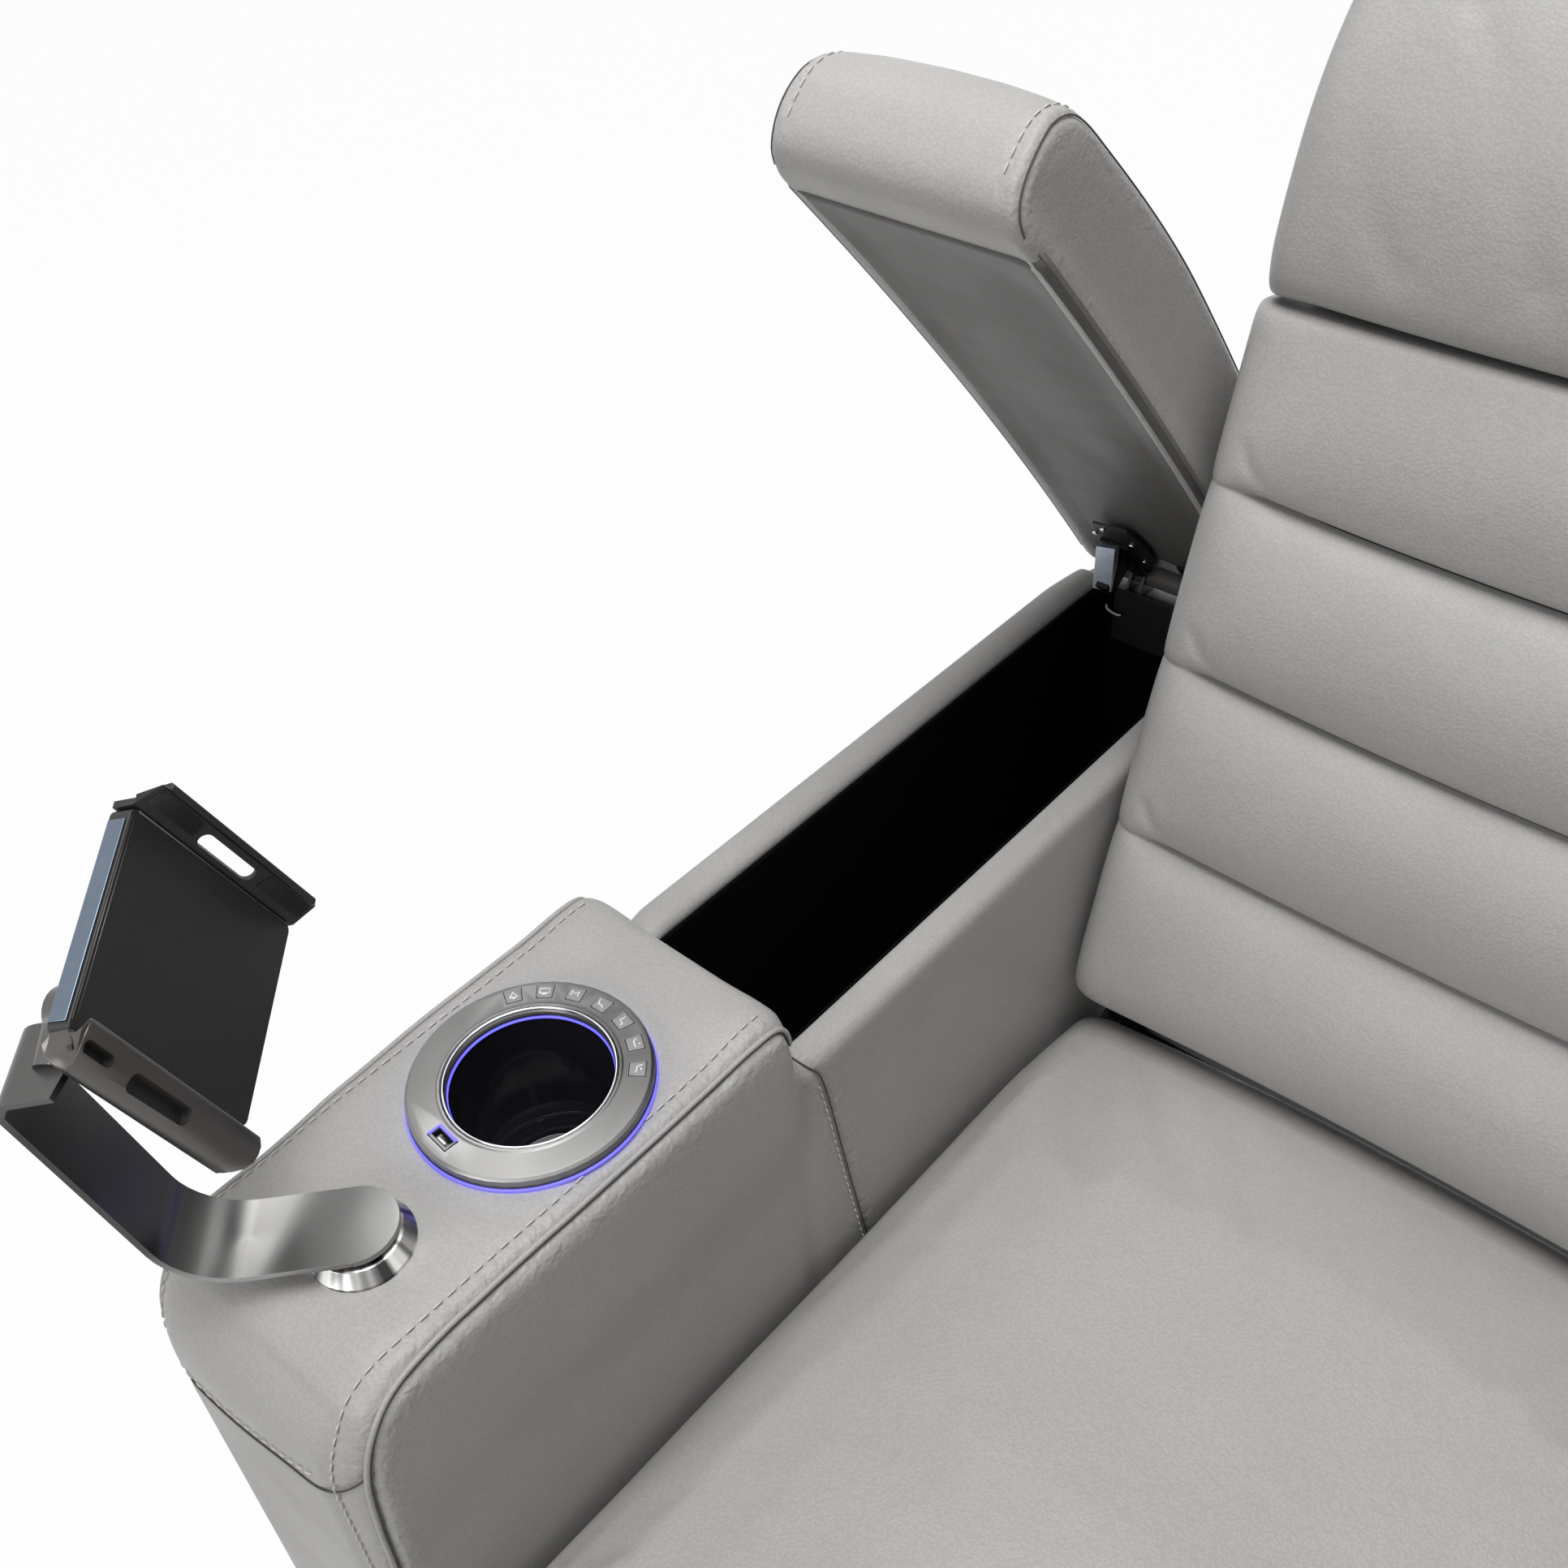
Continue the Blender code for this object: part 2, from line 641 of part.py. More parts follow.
def make_lid_bracket(word, middle_x):
    """Black steel bracket on the well's rear wall, with two ears beside each hinge eye."""
    wall = ARM_REAR - WELL_REAR_WALL - GAP - LINER_WALL
    foot = RIM_Z - 0.055
    reach = LID_HINGE_SPREAD / 2 + 0.016
    plate = block(f"{word}_lid_bracket", (middle_x - reach, wall - 0.0033, foot),
                  (middle_x + reach, wall - GAP, RIM_Z - HINGE_NOTCH_DROP + 0.004), "steel")
    ears = []
    holes = []
    shelf_low = RIM_Z - HINGE_NOTCH_DROP + GAP
    for i, x in enumerate(hinge_places(middle_x)):
        for j, way in enumerate((-1, 1)):
            near, far = ordered(x + way * 0.0044, x + way * 0.0068)
            ear = filleted([
                (wall - 0.0033, shelf_low - 0.020, 0.002),
                (wall - GAP, shelf_low - 0.020, 0),
                (wall - GAP, shelf_low, 0),
                (LID_HINGE_Y + 0.009, shelf_low, 0.002),
                (LID_HINGE_Y + 0.009, LID_HINGE_Z + 0.007, 0.006),
                (LID_HINGE_Y - 0.009, LID_HINGE_Z + 0.007, 0.006),
                (wall - 0.0033, LID_HINGE_Z - 0.010, 0.002),
            ], 2)
            ears.append(slab(f"{word}_ear_{i}_{j}", ear, near, far))
    holes.append(rod(f"{word}_rod_hole", (middle_x - 0.08, LID_HINGE_Y, LID_HINGE_Z),
                     (middle_x + 0.08, LID_HINGE_Y, LID_HINGE_Z), HINGE_ROD_RADIUS + PIN_CLEARANCE))
    fuse(plate, ears)
    return cut(plate, holes)


# Cup holder and its keys

def ring_place(cup_x, degrees, radius):
    """Where a key or port stands on the ring, and the turn that squares it to the ring."""
    angle = math.radians(degrees)
    return Vector((cup_x + radius * math.cos(angle), radius * math.sin(angle), 0)), angle


def ring_block(name, cup_x, degrees, radius, along, across, low, high, kind="matte_black", taper=1.0):
    """A block on the ring: along its rim, across it, its inner side narrowed by taper."""
    place, angle = ring_place(cup_x, degrees, radius)
    turn = Matrix.Translation(place) @ Matrix.Rotation(angle - math.pi / 2, 4, "Z")

    def maker(bm):
        bmesh.ops.create_cube(bm, size=1.0)
        for corner in bm.verts:
            width = along * (taper if corner.co.y < 0 else 1.0)
            height = low if corner.co.z < 0 else high
            corner.co = turn @ Vector((corner.co.x * width, corner.co.y * across, height))

    return add_object(name, mesh_from(name, maker), kind)


def make_cup_holder(side, word, cup_x):
    """Cup, light ring and metal ring; the sitter's right one holds the keys and the charging port."""
    centre = (cup_x, 0, 0)
    glow_low = ARM_TOP + GAP
    glow_top = glow_low + GLOW_HEIGHT
    glow = turned(f"{word}_cup_light_ring", [
        (CUP_FLANGE_RADIUS + GAP, glow_top),
        (RING_OUTER_RADIUS + GLOW_OVERHANG - 0.0008, glow_top),
        (RING_OUTER_RADIUS + GLOW_OVERHANG, glow_top - 0.0012),
        (RING_OUTER_RADIUS + GLOW_OVERHANG, glow_low),
        (CUP_FLANGE_RADIUS + GAP, glow_low),
    ], centre, "glow", 40)
    lip_top = RING_TOP + 0.0006
    ring = turned(f"{word}_cup_ring", [
        (RING_INNER_RADIUS, RING_TOP - 0.0030),
        (RING_INNER_RADIUS + 0.0022, lip_top),
        (RING_INNER_RADIUS + 0.0034, lip_top),
        (RING_INNER_RADIUS + 0.0042, RING_TOP),
        (RING_OUTER_RADIUS - 0.0016, RING_TOP),
        (RING_OUTER_RADIUS, RING_TOP - 0.0014),
        (RING_OUTER_RADIUS, RING_BOTTOM),
        (RING_INNER_RADIUS, RING_BOTTOM),
    ], centre, "nickel")
    floor = ARM_TOP - CUP_DEPTH
    step = ARM_TOP - CUP_STEP_DROP
    top = glow_top
    cup = turned(f"{word}_cup", [
        (0, floor + CUP_WALL),
        (CUP_STEP_RADIUS - 0.004, floor + CUP_WALL),
        (CUP_STEP_RADIUS, step - 0.004),
        (CUP_BASE_RADIUS - CUP_WALL, step),
        (CUP_RADIUS - CUP_WALL, top - 0.004),
        (CUP_RADIUS - CUP_WALL, top),
        (CUP_FLANGE_RADIUS, top),
        (CUP_FLANGE_RADIUS, glow_low),
        (CUP_RADIUS, glow_low),
        (CUP_BASE_RADIUS, floor + 0.004),
        (CUP_BASE_RADIUS - 0.004, floor),
        (0, floor),
    ], centre, "gloss_black", 36, closed=False)
    carry([glow, ring, cup])
    if side > 0:
        return
    room = KEY_SIZE + 2 * KEY_SIDE_CLEARANCE
    holes = []
    for i in range(KEY_COUNT):
        degrees = KEY_FIRST_DEG + KEY_PITCH_DEG * i
        holes.append(ring_block(f"key_hole_{i + 1}", cup_x, degrees, KEY_RING_RADIUS, room + 0.001, room,
                                ARM_TOP, RING_TOP + 0.01, taper=0.86))
        key_top = RING_TOP + KEY_PROUD
        key = ring_block(f"key_{i + 1}", cup_x, degrees, KEY_RING_RADIUS, KEY_SIZE + 0.001, KEY_SIZE,
                         key_top - KEY_THICKNESS, key_top, "nickel", taper=0.86)
        edge = key.modifiers.new("round", "BEVEL")
        edge.width = 0.0004
        edge.segments = 1
        place, _ = ring_place(cup_x, degrees, KEY_RING_RADIUS)
        travel = pivot(f"key_{i + 1}_axis", (place.x, place.y, key_top))
        carry(key, travel, (place.x, place.y, key_top))
    holes.append(ring_block("usb_hole", cup_x, USB_DEG, USB_RADIUS, USB_LENGTH + 2 * GAP, USB_WIDTH + 2 * GAP,
                            ARM_TOP, RING_TOP + 0.01))
    cut(ring, holes)
    usb = ring_block("usb_socket", cup_x, USB_DEG, USB_RADIUS, USB_LENGTH, USB_WIDTH,
                     RING_BOTTOM, RING_TOP + 0.0004)
    port = ring_block("usb_port", cup_x, USB_DEG, USB_RADIUS, USB_PORT_LENGTH, USB_PORT_WIDTH,
                      RING_BOTTOM + 0.0012, RING_TOP + 0.01)
    cut(usb, [port])
    carry(usb)
    make_phone_holder(cup_x)


# Phone holder

def make_phone_holder(cup_x):
    """Disc on the arm, the bent strap that turns on it, and the sprung cradle on the strap."""
    disc_x, disc_y = cup_x + DISC_X, DISC_Y
    low = ARM_TOP + GAP
    top = low + DISC_HEIGHT
    disc = turned("holder_disc", [
        (0, top), (DISC_BEVEL_RADIUS - 0.0035, top), (DISC_BEVEL_RADIUS, top - 0.0012),
        (DISC_RADIUS - 0.0008, low + 0.0045), (DISC_RADIUS, low + 0.0038), (DISC_RADIUS, low), (0, low),
    ], (disc_x, disc_y, 0), "nickel", 40, closed=False)
    carry(disc)

    swivel = pivot("holder_swivel_axis", (disc_x, disc_y, top))
    heading = math.radians(STRAP_HEADING_DEG)
    ahead = Vector((math.cos(heading), math.sin(heading), 0))
    beside = Vector((-math.sin(heading), math.cos(heading), 0))
    base = Vector((disc_x, disc_y, top + GAP + STRAP_LIFT))
    frame = Matrix((
        (ahead.x, 0, -beside.x, base.x),
        (ahead.y, 0, -beside.y, base.y),
        (0, 1, 0, base.z),
        (0, 0, 0, 1)))
    strap, tip = make_strap(frame)

    heading = math.radians(CRADLE_HEADING_DEG)
    tilt = math.radians(CRADLE_TILT_DEG)
    normal = Vector((math.cos(tilt) * math.cos(heading), math.cos(tilt) * math.sin(heading), math.sin(tilt)))
    down = (normal * normal.z - Vector((0, 0, 1))).normalized()
    roll = math.radians(CRADLE_ROLL_DEG)
    along = down * math.cos(roll) + normal.cross(down) * math.sin(roll)
    upward = normal.cross(along)
    centre = Vector((cup_x + CRADLE_X, CRADLE_Y, ARM_TOP + CRADLE_Z))
    place = Matrix.Translation(centre) @ Matrix((
        (along.x, upward.x, normal.x, 0), (along.y, upward.y, normal.y, 0),
        (along.z, upward.z, normal.z, 0), (0, 0, 0, 1)))
    hub = place @ Vector((CRADLE_HUB_X, CRADLE_HUB_Y, -CRADLE_THICKNESS - GAP))
    back = hub - normal * 0.008
    neck = rod("holder_neck", back - normal * 0.001, tip, 0.0075, "nickel", 16)
    boss = rod("holder_boss", hub, back - normal * 0.002, CRADLE_HUB_RADIUS, "nickel", 24)
    post = rod("holder_post", (disc_x, disc_y, top + GAP), base + Vector((0, 0, 0.001)), 0.011, "nickel", 24)
    reach = 0.045
    sweep_room = block("cradle_sweep_room", (CRADLE_HUB_X - reach, CRADLE_HUB_Y - reach,
                                             -CRADLE_THICKNESS - 0.0015),
                       (CRADLE_HUB_X + reach, CRADLE_HUB_Y + reach, 0.030))
    sweep_room.data.transform(place)
    cut(strap, [sweep_room])
    fuse(strap, [neck, boss, post])
    carry(strap, swivel, swivel.location)

    turn_axis = pivot("cradle_turn_axis", hub)
    plate, jaw, grips = make_cradle(place)
    carry(plate, turn_axis, hub)
    slide = pivot("jaw_slide_axis", place @ Vector((0, CRADLE_HEIGHT / 2, 0)))
    carry([jaw] + grips, slide, slide.location)


def make_strap(frame):
    """Flat bar with a round end on the disc, bent upwards, folded in at its top; frame is its side view."""
    half = STRAP_THICKNESS / 2
    rise = math.radians(STRAP_RISE_DEG)
    centre_line = [(0.0, half)]
    turn_centre = (STRAP_FLAT, half + STRAP_BEND_RADIUS)
    for i in range(9):
        a = -math.pi / 2 + rise * i / 8
        centre_line.append((turn_centre[0] + STRAP_BEND_RADIUS * math.cos(a),
                            turn_centre[1] + STRAP_BEND_RADIUS * math.sin(a)))
    last = centre_line[-1]
    direction = (math.cos(rise), math.sin(rise))
    top = (last[0] + direction[0] * STRAP_RISE, last[1] + direction[1] * STRAP_RISE)
    centre_line.append(top)
    bend = STRAP_TOP_BEND_RADIUS
    fold_centre = (top[0] - direction[1] * bend, top[1] + direction[0] * bend)
    fold_turn = math.radians(100)
    for i in range(1, 6):
        a = rise - math.pi / 2 + fold_turn * i / 5
        centre_line.append((fold_centre[0] + bend * math.cos(a), fold_centre[1] + bend * math.sin(a)))
    end = centre_line[-1]
    fold = rise + fold_turn
    tab_end = (end[0] + math.cos(fold) * STRAP_TAB, end[1] + math.sin(fold) * STRAP_TAB)
    centre_line.append(tab_end)

    left, right = [], []
    for i, point in enumerate(centre_line):
        before = centre_line[max(i - 1, 0)]
        after = centre_line[min(i + 1, len(centre_line) - 1)]
        run = Vector((after[0] - before[0], after[1] - before[1])).normalized()
        left.append((point[0] - run.y * half, point[1] + run.x * half))
        right.append((point[0] + run.y * half, point[1] - run.x * half))
    outline = left + right[::-1]
    ribbon = slab_in("holder_strap", outline, -STRAP_WIDTH / 2, STRAP_WIDTH / 2, frame)
    end_disc = rod("strap_end", frame @ Vector((0, 0, 0)), frame @ Vector((0, STRAP_THICKNESS, 0)),
                   STRAP_WIDTH / 2, "nickel", 40)
    fuse(ribbon, [end_disc])
    tip = frame @ Vector((tab_end[0] + 0.009, tab_end[1] - 0.001, -0.004))
    return ribbon, tip


def slab_in(name, outline, low, high, frame, kind="nickel"):
    """A flat outline in the X-Y plane of frame, thick along its Z."""
    thing = slab(name, outline, low, high, kind, 0.0, "Z")
    thing.data.transform(frame)
    if frame.determinant() < 0:
        thing.data.flip_normals()
    return thing


def make_cradle(place):
    """Cradle body with its fixed lower jaw, the sliding upper jaw and its two rubber grips."""
    long_half = CRADLE_LENGTH / 2
    high_half = CRADLE_HEIGHT / 2
    body = slab_in("cradle_plate", filleted([
        (-long_half, -high_half, 0.004), (long_half, -high_half, 0.004),
        (long_half, high_half, 0.004), (-long_half, high_half, 0.004)], 3),
        -CRADLE_THICKNESS, 0.0, place, "matte_black")
    tongue_half = long_half - TONGUE_SIDE_MARGIN
    tongue_back = -CRADLE_THICKNESS / 2 - TONGUE_THICKNESS / 2
    tongue_front = tongue_back + TONGUE_THICKNESS
    pocket = block("tongue_pocket", (-tongue_half - SLIDE_CLEARANCE, high_half - TONGUE_LENGTH - 0.001,
                                     tongue_back - SLIDE_CLEARANCE),
                   (tongue_half + SLIDE_CLEARANCE, high_half + 0.01, tongue_front + SLIDE_CLEARANCE))
    pocket.data.transform(place)
    lower = [(-CRADLE_THICKNESS, -high_half + 0.004), (-CRADLE_THICKNESS, -high_half - JAW_THICKNESS)]
    lower += [(JAW_REACH - 0.008, -high_half - JAW_THICKNESS)]
    lower += [(JAW_REACH - 0.008 + 0.011 * math.sin(math.radians(a)),
               -high_half - JAW_THICKNESS + 0.011 * (1 - math.cos(math.radians(a)))) for a in (30, 60, 85)]
    lower += [(JAW_REACH - 0.008 + 0.0075 * math.sin(math.radians(a)),
               -high_half + 0.0075 * (1 - math.cos(math.radians(a)))) for a in (85, 55, 25)]
    lower += [(0.0005, -high_half), (0.0005, -high_half + 0.004)]
    jaw_frame = place @ Matrix(((0, 0, 1, 0), (0, 1, 0, 0), (1, 0, 0, 0), (0, 0, 0, 1)))
    lip = slab_in("lower_jaw", lower, -long_half + 0.001, long_half + 0.003, jaw_frame)
    fuse(body, [lip])
    windows = []
    for i, (start, end) in enumerate(((-0.046, -0.026), (-0.014, 0.022))):
        window = block(f"jaw_window_{i}", (start, -high_half - 0.02, 0.0035),
                       (end, -high_half + 0.002, 0.0125))
        window.data.transform(place)
        windows.append(window)
    cut(body, [pocket] + windows)

    jaw_low = high_half + GAP
    jaw_top = jaw_low + JAW_THICKNESS
    jaw = block("cradle_upper_jaw", (-long_half, jaw_low, -CRADLE_THICKNESS), (long_half, jaw_top, JAW_REACH),
                "matte_black", bevel=0.001, segments=1)
    jaw = settle(jaw)
    jaw.data.transform(place)
    tongue = block("jaw_tongue", (-tongue_half, high_half - TONGUE_LENGTH, tongue_back),
                   (tongue_half, jaw_low + 0.001, tongue_front))
    tongue.data.transform(place)
    hook = block("jaw_hook", (-long_half + 0.001, jaw_low - 0.004, JAW_REACH - 0.0022),
                 (long_half - 0.001, jaw_low + 0.001, JAW_REACH))
    hook.data.transform(place)
    slot_outline = filleted([
        (-JAW_SLOT_LENGTH / 2, 0.0055, JAW_SLOT_WIDTH * 0.49),
        (JAW_SLOT_LENGTH / 2, 0.0055, JAW_SLOT_WIDTH * 0.49),
        (JAW_SLOT_LENGTH / 2, 0.0055 + JAW_SLOT_WIDTH, JAW_SLOT_WIDTH * 0.49),
        (-JAW_SLOT_LENGTH / 2, 0.0055 + JAW_SLOT_WIDTH, JAW_SLOT_WIDTH * 0.49)], 4)
    slot_frame = place @ Matrix(((1, 0, 0, 0), (0, 0, 1, 0), (0, 1, 0, 0), (0, 0, 0, 1)))
    slot = slab_in("jaw_slot", slot_outline, jaw_low - 0.01, jaw_top + 0.01, slot_frame)
    fuse(jaw, [tongue, hook])
    cut(jaw, [slot])
    grips = []
    for i, way in enumerate((-1, 1)):
        start = way * (JAW_SLOT_LENGTH / 2 + 0.004)
        end = start + way * GRIP_LENGTH
        near, far = ordered(start, end)
        grip = block(f"jaw_grip_{i + 1}", (near, jaw_low - GAP - GRIP_THICKNESS, 0.0030),
                     (far, jaw_low - GAP, 0.0170), "matte_black")
        grip.data.transform(place)
        grips.append(grip)
    return body, jaw, grips


# Seat

def make_seat():
    """Crowned cushion on a webbed wooden box."""
    half = CUSHION_HALF
    top_rear = SEAT_EDGE_REAR
    profile = filleted([
        (SEAT_NOSE, CUSHION_BOTTOM, 0.014),
        (SEAT_REAR, CUSHION_BOTTOM, 0.012),
        (SEAT_REAR, top_rear, 0.018),
        (SEAT_REAR - 0.09, top_rear + 0.015, 0.30),
        (SEAT_REAR - 0.34, SEAT_EDGE_FRONT - 0.008, 0.30),
        (SEAT_NOSE, SEAT_EDGE_FRONT, 0.034),
    ], 4)
    rings = []
    for x, across, draw in cushion_places(half, CUSHION_EDGE, 8, 5):
        crown = SEAT_CROWN * (1 - abs(across) ** 2.2)
        ring = []
        for y, z in profile:
            edge = SEAT_EDGE_REAR + (SEAT_EDGE_FRONT - SEAT_EDGE_REAR) * min(1, (SEAT_REAR - y) / 0.34)
            height = edge - CUSHION_BOTTOM
            lift = max(0.0, min(1.0, (z - CUSHION_BOTTOM) / height)) ** 1.4
            inset = draw * height * 0.42
            along = (y - SEAT_NOSE) / (SEAT_REAR - SEAT_NOSE)
            swell = crown * lift * math.sin(math.pi * min(1, max(0, 0.12 + 0.80 * along))) ** 0.6
            drawn_in = CUSHION_EDGE * 0.4 * draw * max(0.0, 1 - along / 0.15)
            ring.append((x, y + drawn_in, z + swell - inset * lift))
        rings.append(ring)
    cushion = loft("seat_cushion", rings, "leather")

    outer = CUSHION_HALF - 0.006
    box = block("seat_box", (-outer, SEAT_BOX_FRONT, SEAT_BOX_BOTTOM), (outer, SEAT_BOX_REAR, SEAT_BOX_TOP),
                "wood")
    hollow = block("box_hollow", (-outer + SEAT_BOX_BOARD, SEAT_BOX_FRONT + SEAT_BOX_BOARD,
                                  SEAT_BOX_BOTTOM - 0.01),
                   (outer - SEAT_BOX_BOARD, SEAT_BOX_REAR - SEAT_BOX_BOARD, SEAT_BOX_TOP + 0.01))
    cut(box, [hollow])

    low = SEAT_BOX_TOP + GAP
    high = low + WEBBING_THICKNESS
    deck = block("seat_webbing", (-outer + 0.004, SEAT_BOX_FRONT + 0.004, low),
                 (outer - 0.004, SEAT_BOX_REAR - 0.004, high), "lining")
    rows, columns = 5, 5
    width = 2 * (outer - 0.004)
    depth = SEAT_BOX_REAR - SEAT_BOX_FRONT - 0.008
    gap_x = (width - (columns + 1) * WEBBING_WIDTH) / columns
    gap_y = (depth - (rows + 1) * WEBBING_WIDTH) / rows
    holes = []
    for i in range(columns):
        for j in range(rows):
            x = -outer + 0.004 + WEBBING_WIDTH + i * (gap_x + WEBBING_WIDTH)
            y = SEAT_BOX_FRONT + 0.004 + WEBBING_WIDTH + j * (gap_y + WEBBING_WIDTH)
            holes.append(block(f"web_hole_{i}_{j}", (x, y, low - 0.01), (x + gap_x, y + gap_y, high + 0.01)))
    cut(deck, holes)
    carry([cushion, box, deck])


# Back and headrest

def roll_profile():
    """Front of the back cushion in its side view: a tall bottom roll, then equal rolls between seams."""
    seams = [BACK_FIRST_SEAM + BACK_ROLL_PITCH * i for i in range(BACK_ROLL_COUNT + 1)]
    points = [(-0.048, BACK_BOTTOM + 0.004), (-0.064, BACK_BOTTOM + 0.012)]
    bounds = [BACK_BOTTOM + 0.020] + seams
    for k, (low, high) in enumerate(zip(bounds, bounds[1:])):
        count = 7
        for i in range(count + (1 if k == BACK_ROLL_COUNT else 0)):
            share = i / count
            t = 2 * share - 1
            bulge = ROLL_BULGE * (1 - abs(t) ** 3.2)
            points.append((-BACK_SEAM_DEPTH - bulge, low + (high - low) * share))
    return points


def make_back():
    """Channelled cushion, steel frame with the drive lever, rear cover and tilting headrest."""
    axis = (0, BACK_PIVOT_Y, BACK_PIVOT_Z)
    recline = pivot("back_axis", axis, BACK_LEAN_DEG)
    half = CUSHION_HALF

    def world(y, v):
        return BACK_PIVOT_Y + y, BACK_PIVOT_Z + v

    front = roll_profile()
    outline = front + [(BACK_CUSHION_REAR, BACK_TOP_SEAM), (BACK_CUSHION_REAR, BACK_BOTTOM)]
    rings = []
    for x, across, draw in cushion_places(half, CUSHION_EDGE):
        ring = []
        for y, v in outline:
            forward = min(1.0, max(0.0, (BACK_CUSHION_REAR - y) / BACK_SEAM_DEPTH))
            bulge = max(0.0, -BACK_SEAM_DEPTH - y)
            y_new = y + forward * 0.042 * draw + bulge * 0.45 * abs(across) ** 3
            ring.append((x, *world(y_new, v)))
        rings.append(ring)
    cushion = loft("back_cushion", rings, "leather")

    frame_front = BACK_CUSHION_REAR + GAP
    frame_rear = frame_front + FRAME_DEPTH
    outer = SIDE_PLATE_X - GAP
    frame_top = BACK_TOP - 0.030
    y0, y1 = BACK_PIVOT_Y + frame_front, BACK_PIVOT_Y + frame_rear
    z0, z1 = BACK_PIVOT_Z - 0.024, BACK_PIVOT_Z + frame_top
    frame = block("back_frame", (-outer, y0, z0), (outer, y1, z1), "steel")
    bars = [0.0, 0.26, 0.52, 1.0]
    openings = []
    clear = z1 - z0 - FRAME_TUBE
    for i, (low, high) in enumerate(zip(bars, bars[1:])):
        openings.append(block(f"frame_window_{i}",
                              (-outer + FRAME_TUBE, y0 - 0.01, z0 + FRAME_TUBE + clear * low),
                              (outer - FRAME_TUBE, y1 + 0.01, z0 + clear * high)))
    pins = [rod(f"back_pin_{i}", (way * (outer - 0.004), BACK_PIVOT_Y, BACK_PIVOT_Z),
                (way * (SIDE_PLATE_X + PLATE_THICKNESS + 0.002), BACK_PIVOT_Y, BACK_PIVOT_Z),
                BACK_PIN_RADIUS, sides=16)
            for i, way in enumerate((-1, 1))]
    slope = math.radians(BACK_LEAN_DEG + LEVER_REST_DEG)
    tip = (BACK_PIVOT_Y + LEVER_LENGTH * math.sin(slope), BACK_PIVOT_Z - LEVER_LENGTH * math.cos(slope))
    lever = link_plate("back_lever", (BACK_PIVOT_Y + FRAME_DEPTH / 2, BACK_PIVOT_Z - 0.012), tip, -0.003,
                       0.003, 0.022)
    cut(frame, openings)
    fuse(frame, pins + [lever])

    cover_rear = frame_rear + GAP + COVER_DEPTH
    low, high = BACK_PIVOT_Z + BACK_BOTTOM, BACK_PIVOT_Z + BACK_TOP - 0.012
    cover = settle(block("back_cover", (-half, BACK_PIVOT_Y - 0.040, low),
                         (half, BACK_PIVOT_Y + cover_rear, high),
                         "leather", bevel=0.018, segments=3))
    trim = block("cover_trim", (-half - 0.01, BACK_PIVOT_Y - 0.08, low - 0.05),
                 (half + 0.01, BACK_PIVOT_Y + frame_front, high + 0.05))
    hollow = block("cover_hollow", (-half + COVER_WALL, BACK_PIVOT_Y - 0.05, low - 0.05),
                   (half - COVER_WALL, BACK_PIVOT_Y + cover_rear - COVER_WALL, high - COVER_WALL))
    cut(cover, [trim, hollow])
    carry([cushion, frame, cover], recline, axis)

    head_axis = (0, BACK_PIVOT_Y - HEAD_AXIS_FORWARD, BACK_PIVOT_Z + BACK_TOP_SEAM + HEAD_AXIS_UP)
    head = pivot("headrest_axis", (0, 0, 0), 0.0, recline)
    head.matrix_parent_inverse = Matrix.Translation(-Vector(axis))
    head.location = head_axis
    make_headrest(head, head_axis)


def make_headrest(head, head_axis):
    """Pillow over a steel plate whose arms turn low in the pillow."""
    bottom = BACK_TOP_SEAM + GAP + 0.0012
    half = CUSHION_HALF
    profile = filleted([
        (-0.046, bottom + 0.002, 0.006), (-BACK_SEAM_DEPTH - 0.006, bottom + 0.010, 0.012),
        (-HEADREST_DEPTH - 0.010, bottom + 0.075, 0.080), (-HEADREST_DEPTH, bottom + 0.150, 0.080),
        (-0.062, BACK_TOP, 0.045), (-0.006, BACK_TOP + 0.004, 0.022), (-0.006, bottom + 0.030, 0.004),
    ], 4)
    rings = []
    for x, across, draw in cushion_places(half, CUSHION_EDGE):
        ring = []
        for y, v in profile:
            forward = min(1.0, max(0.0, (-0.006 - y) / HEADREST_DEPTH))
            height = (v - bottom) / HEADREST_HEIGHT
            y_new = y + forward * (0.040 * draw + 0.012 * abs(across) ** 3)
            v_new = v - 0.024 * draw * max(0.0, height) ** 2
            ring.append((x, BACK_PIVOT_Y + y_new, BACK_PIVOT_Z + v_new))
        rings.append(ring)
    pillow = loft("headrest_cushion", rings, "leather")
    inner = CUSHION_HALF - HEAD_PLATE_INSET
    plate_front = BACK_PIVOT_Y + BACK_CUSHION_REAR - 0.0017
    plate = block("headrest_plate", (-inner, plate_front, BACK_PIVOT_Z + bottom + 0.034),
                  (inner, BACK_PIVOT_Y + BACK_CUSHION_REAR, BACK_PIVOT_Z + BACK_TOP - 0.050), "steel")
    carry([pillow, plate], head, head_axis)


# Steel base and footrest

def link_plate(name, start, end, layer_low, layer_high, width=LINK_WIDTH, kind="steel"):
    """A flat bar with round ends between two pivots of the side view."""
    run = Vector((end[0] - start[0], end[1] - start[1]))
    heading = math.degrees(math.atan2(run.y, run.x))
    outline = arc(end, width / 2, heading - 90, heading + 90, 5) + arc(start, width / 2, heading + 90,
                                                                       heading + 270, 5)
    return slab(name, outline, layer_low, layer_high, kind)


def layer(side, index):
    """Faces of the flat layer that a link lies in, index 0 being the side plate."""
    inner = SIDE_PLATE_X - index * LAYER_STEP
    return ordered(side * inner, side * (inner + PLATE_THICKNESS))


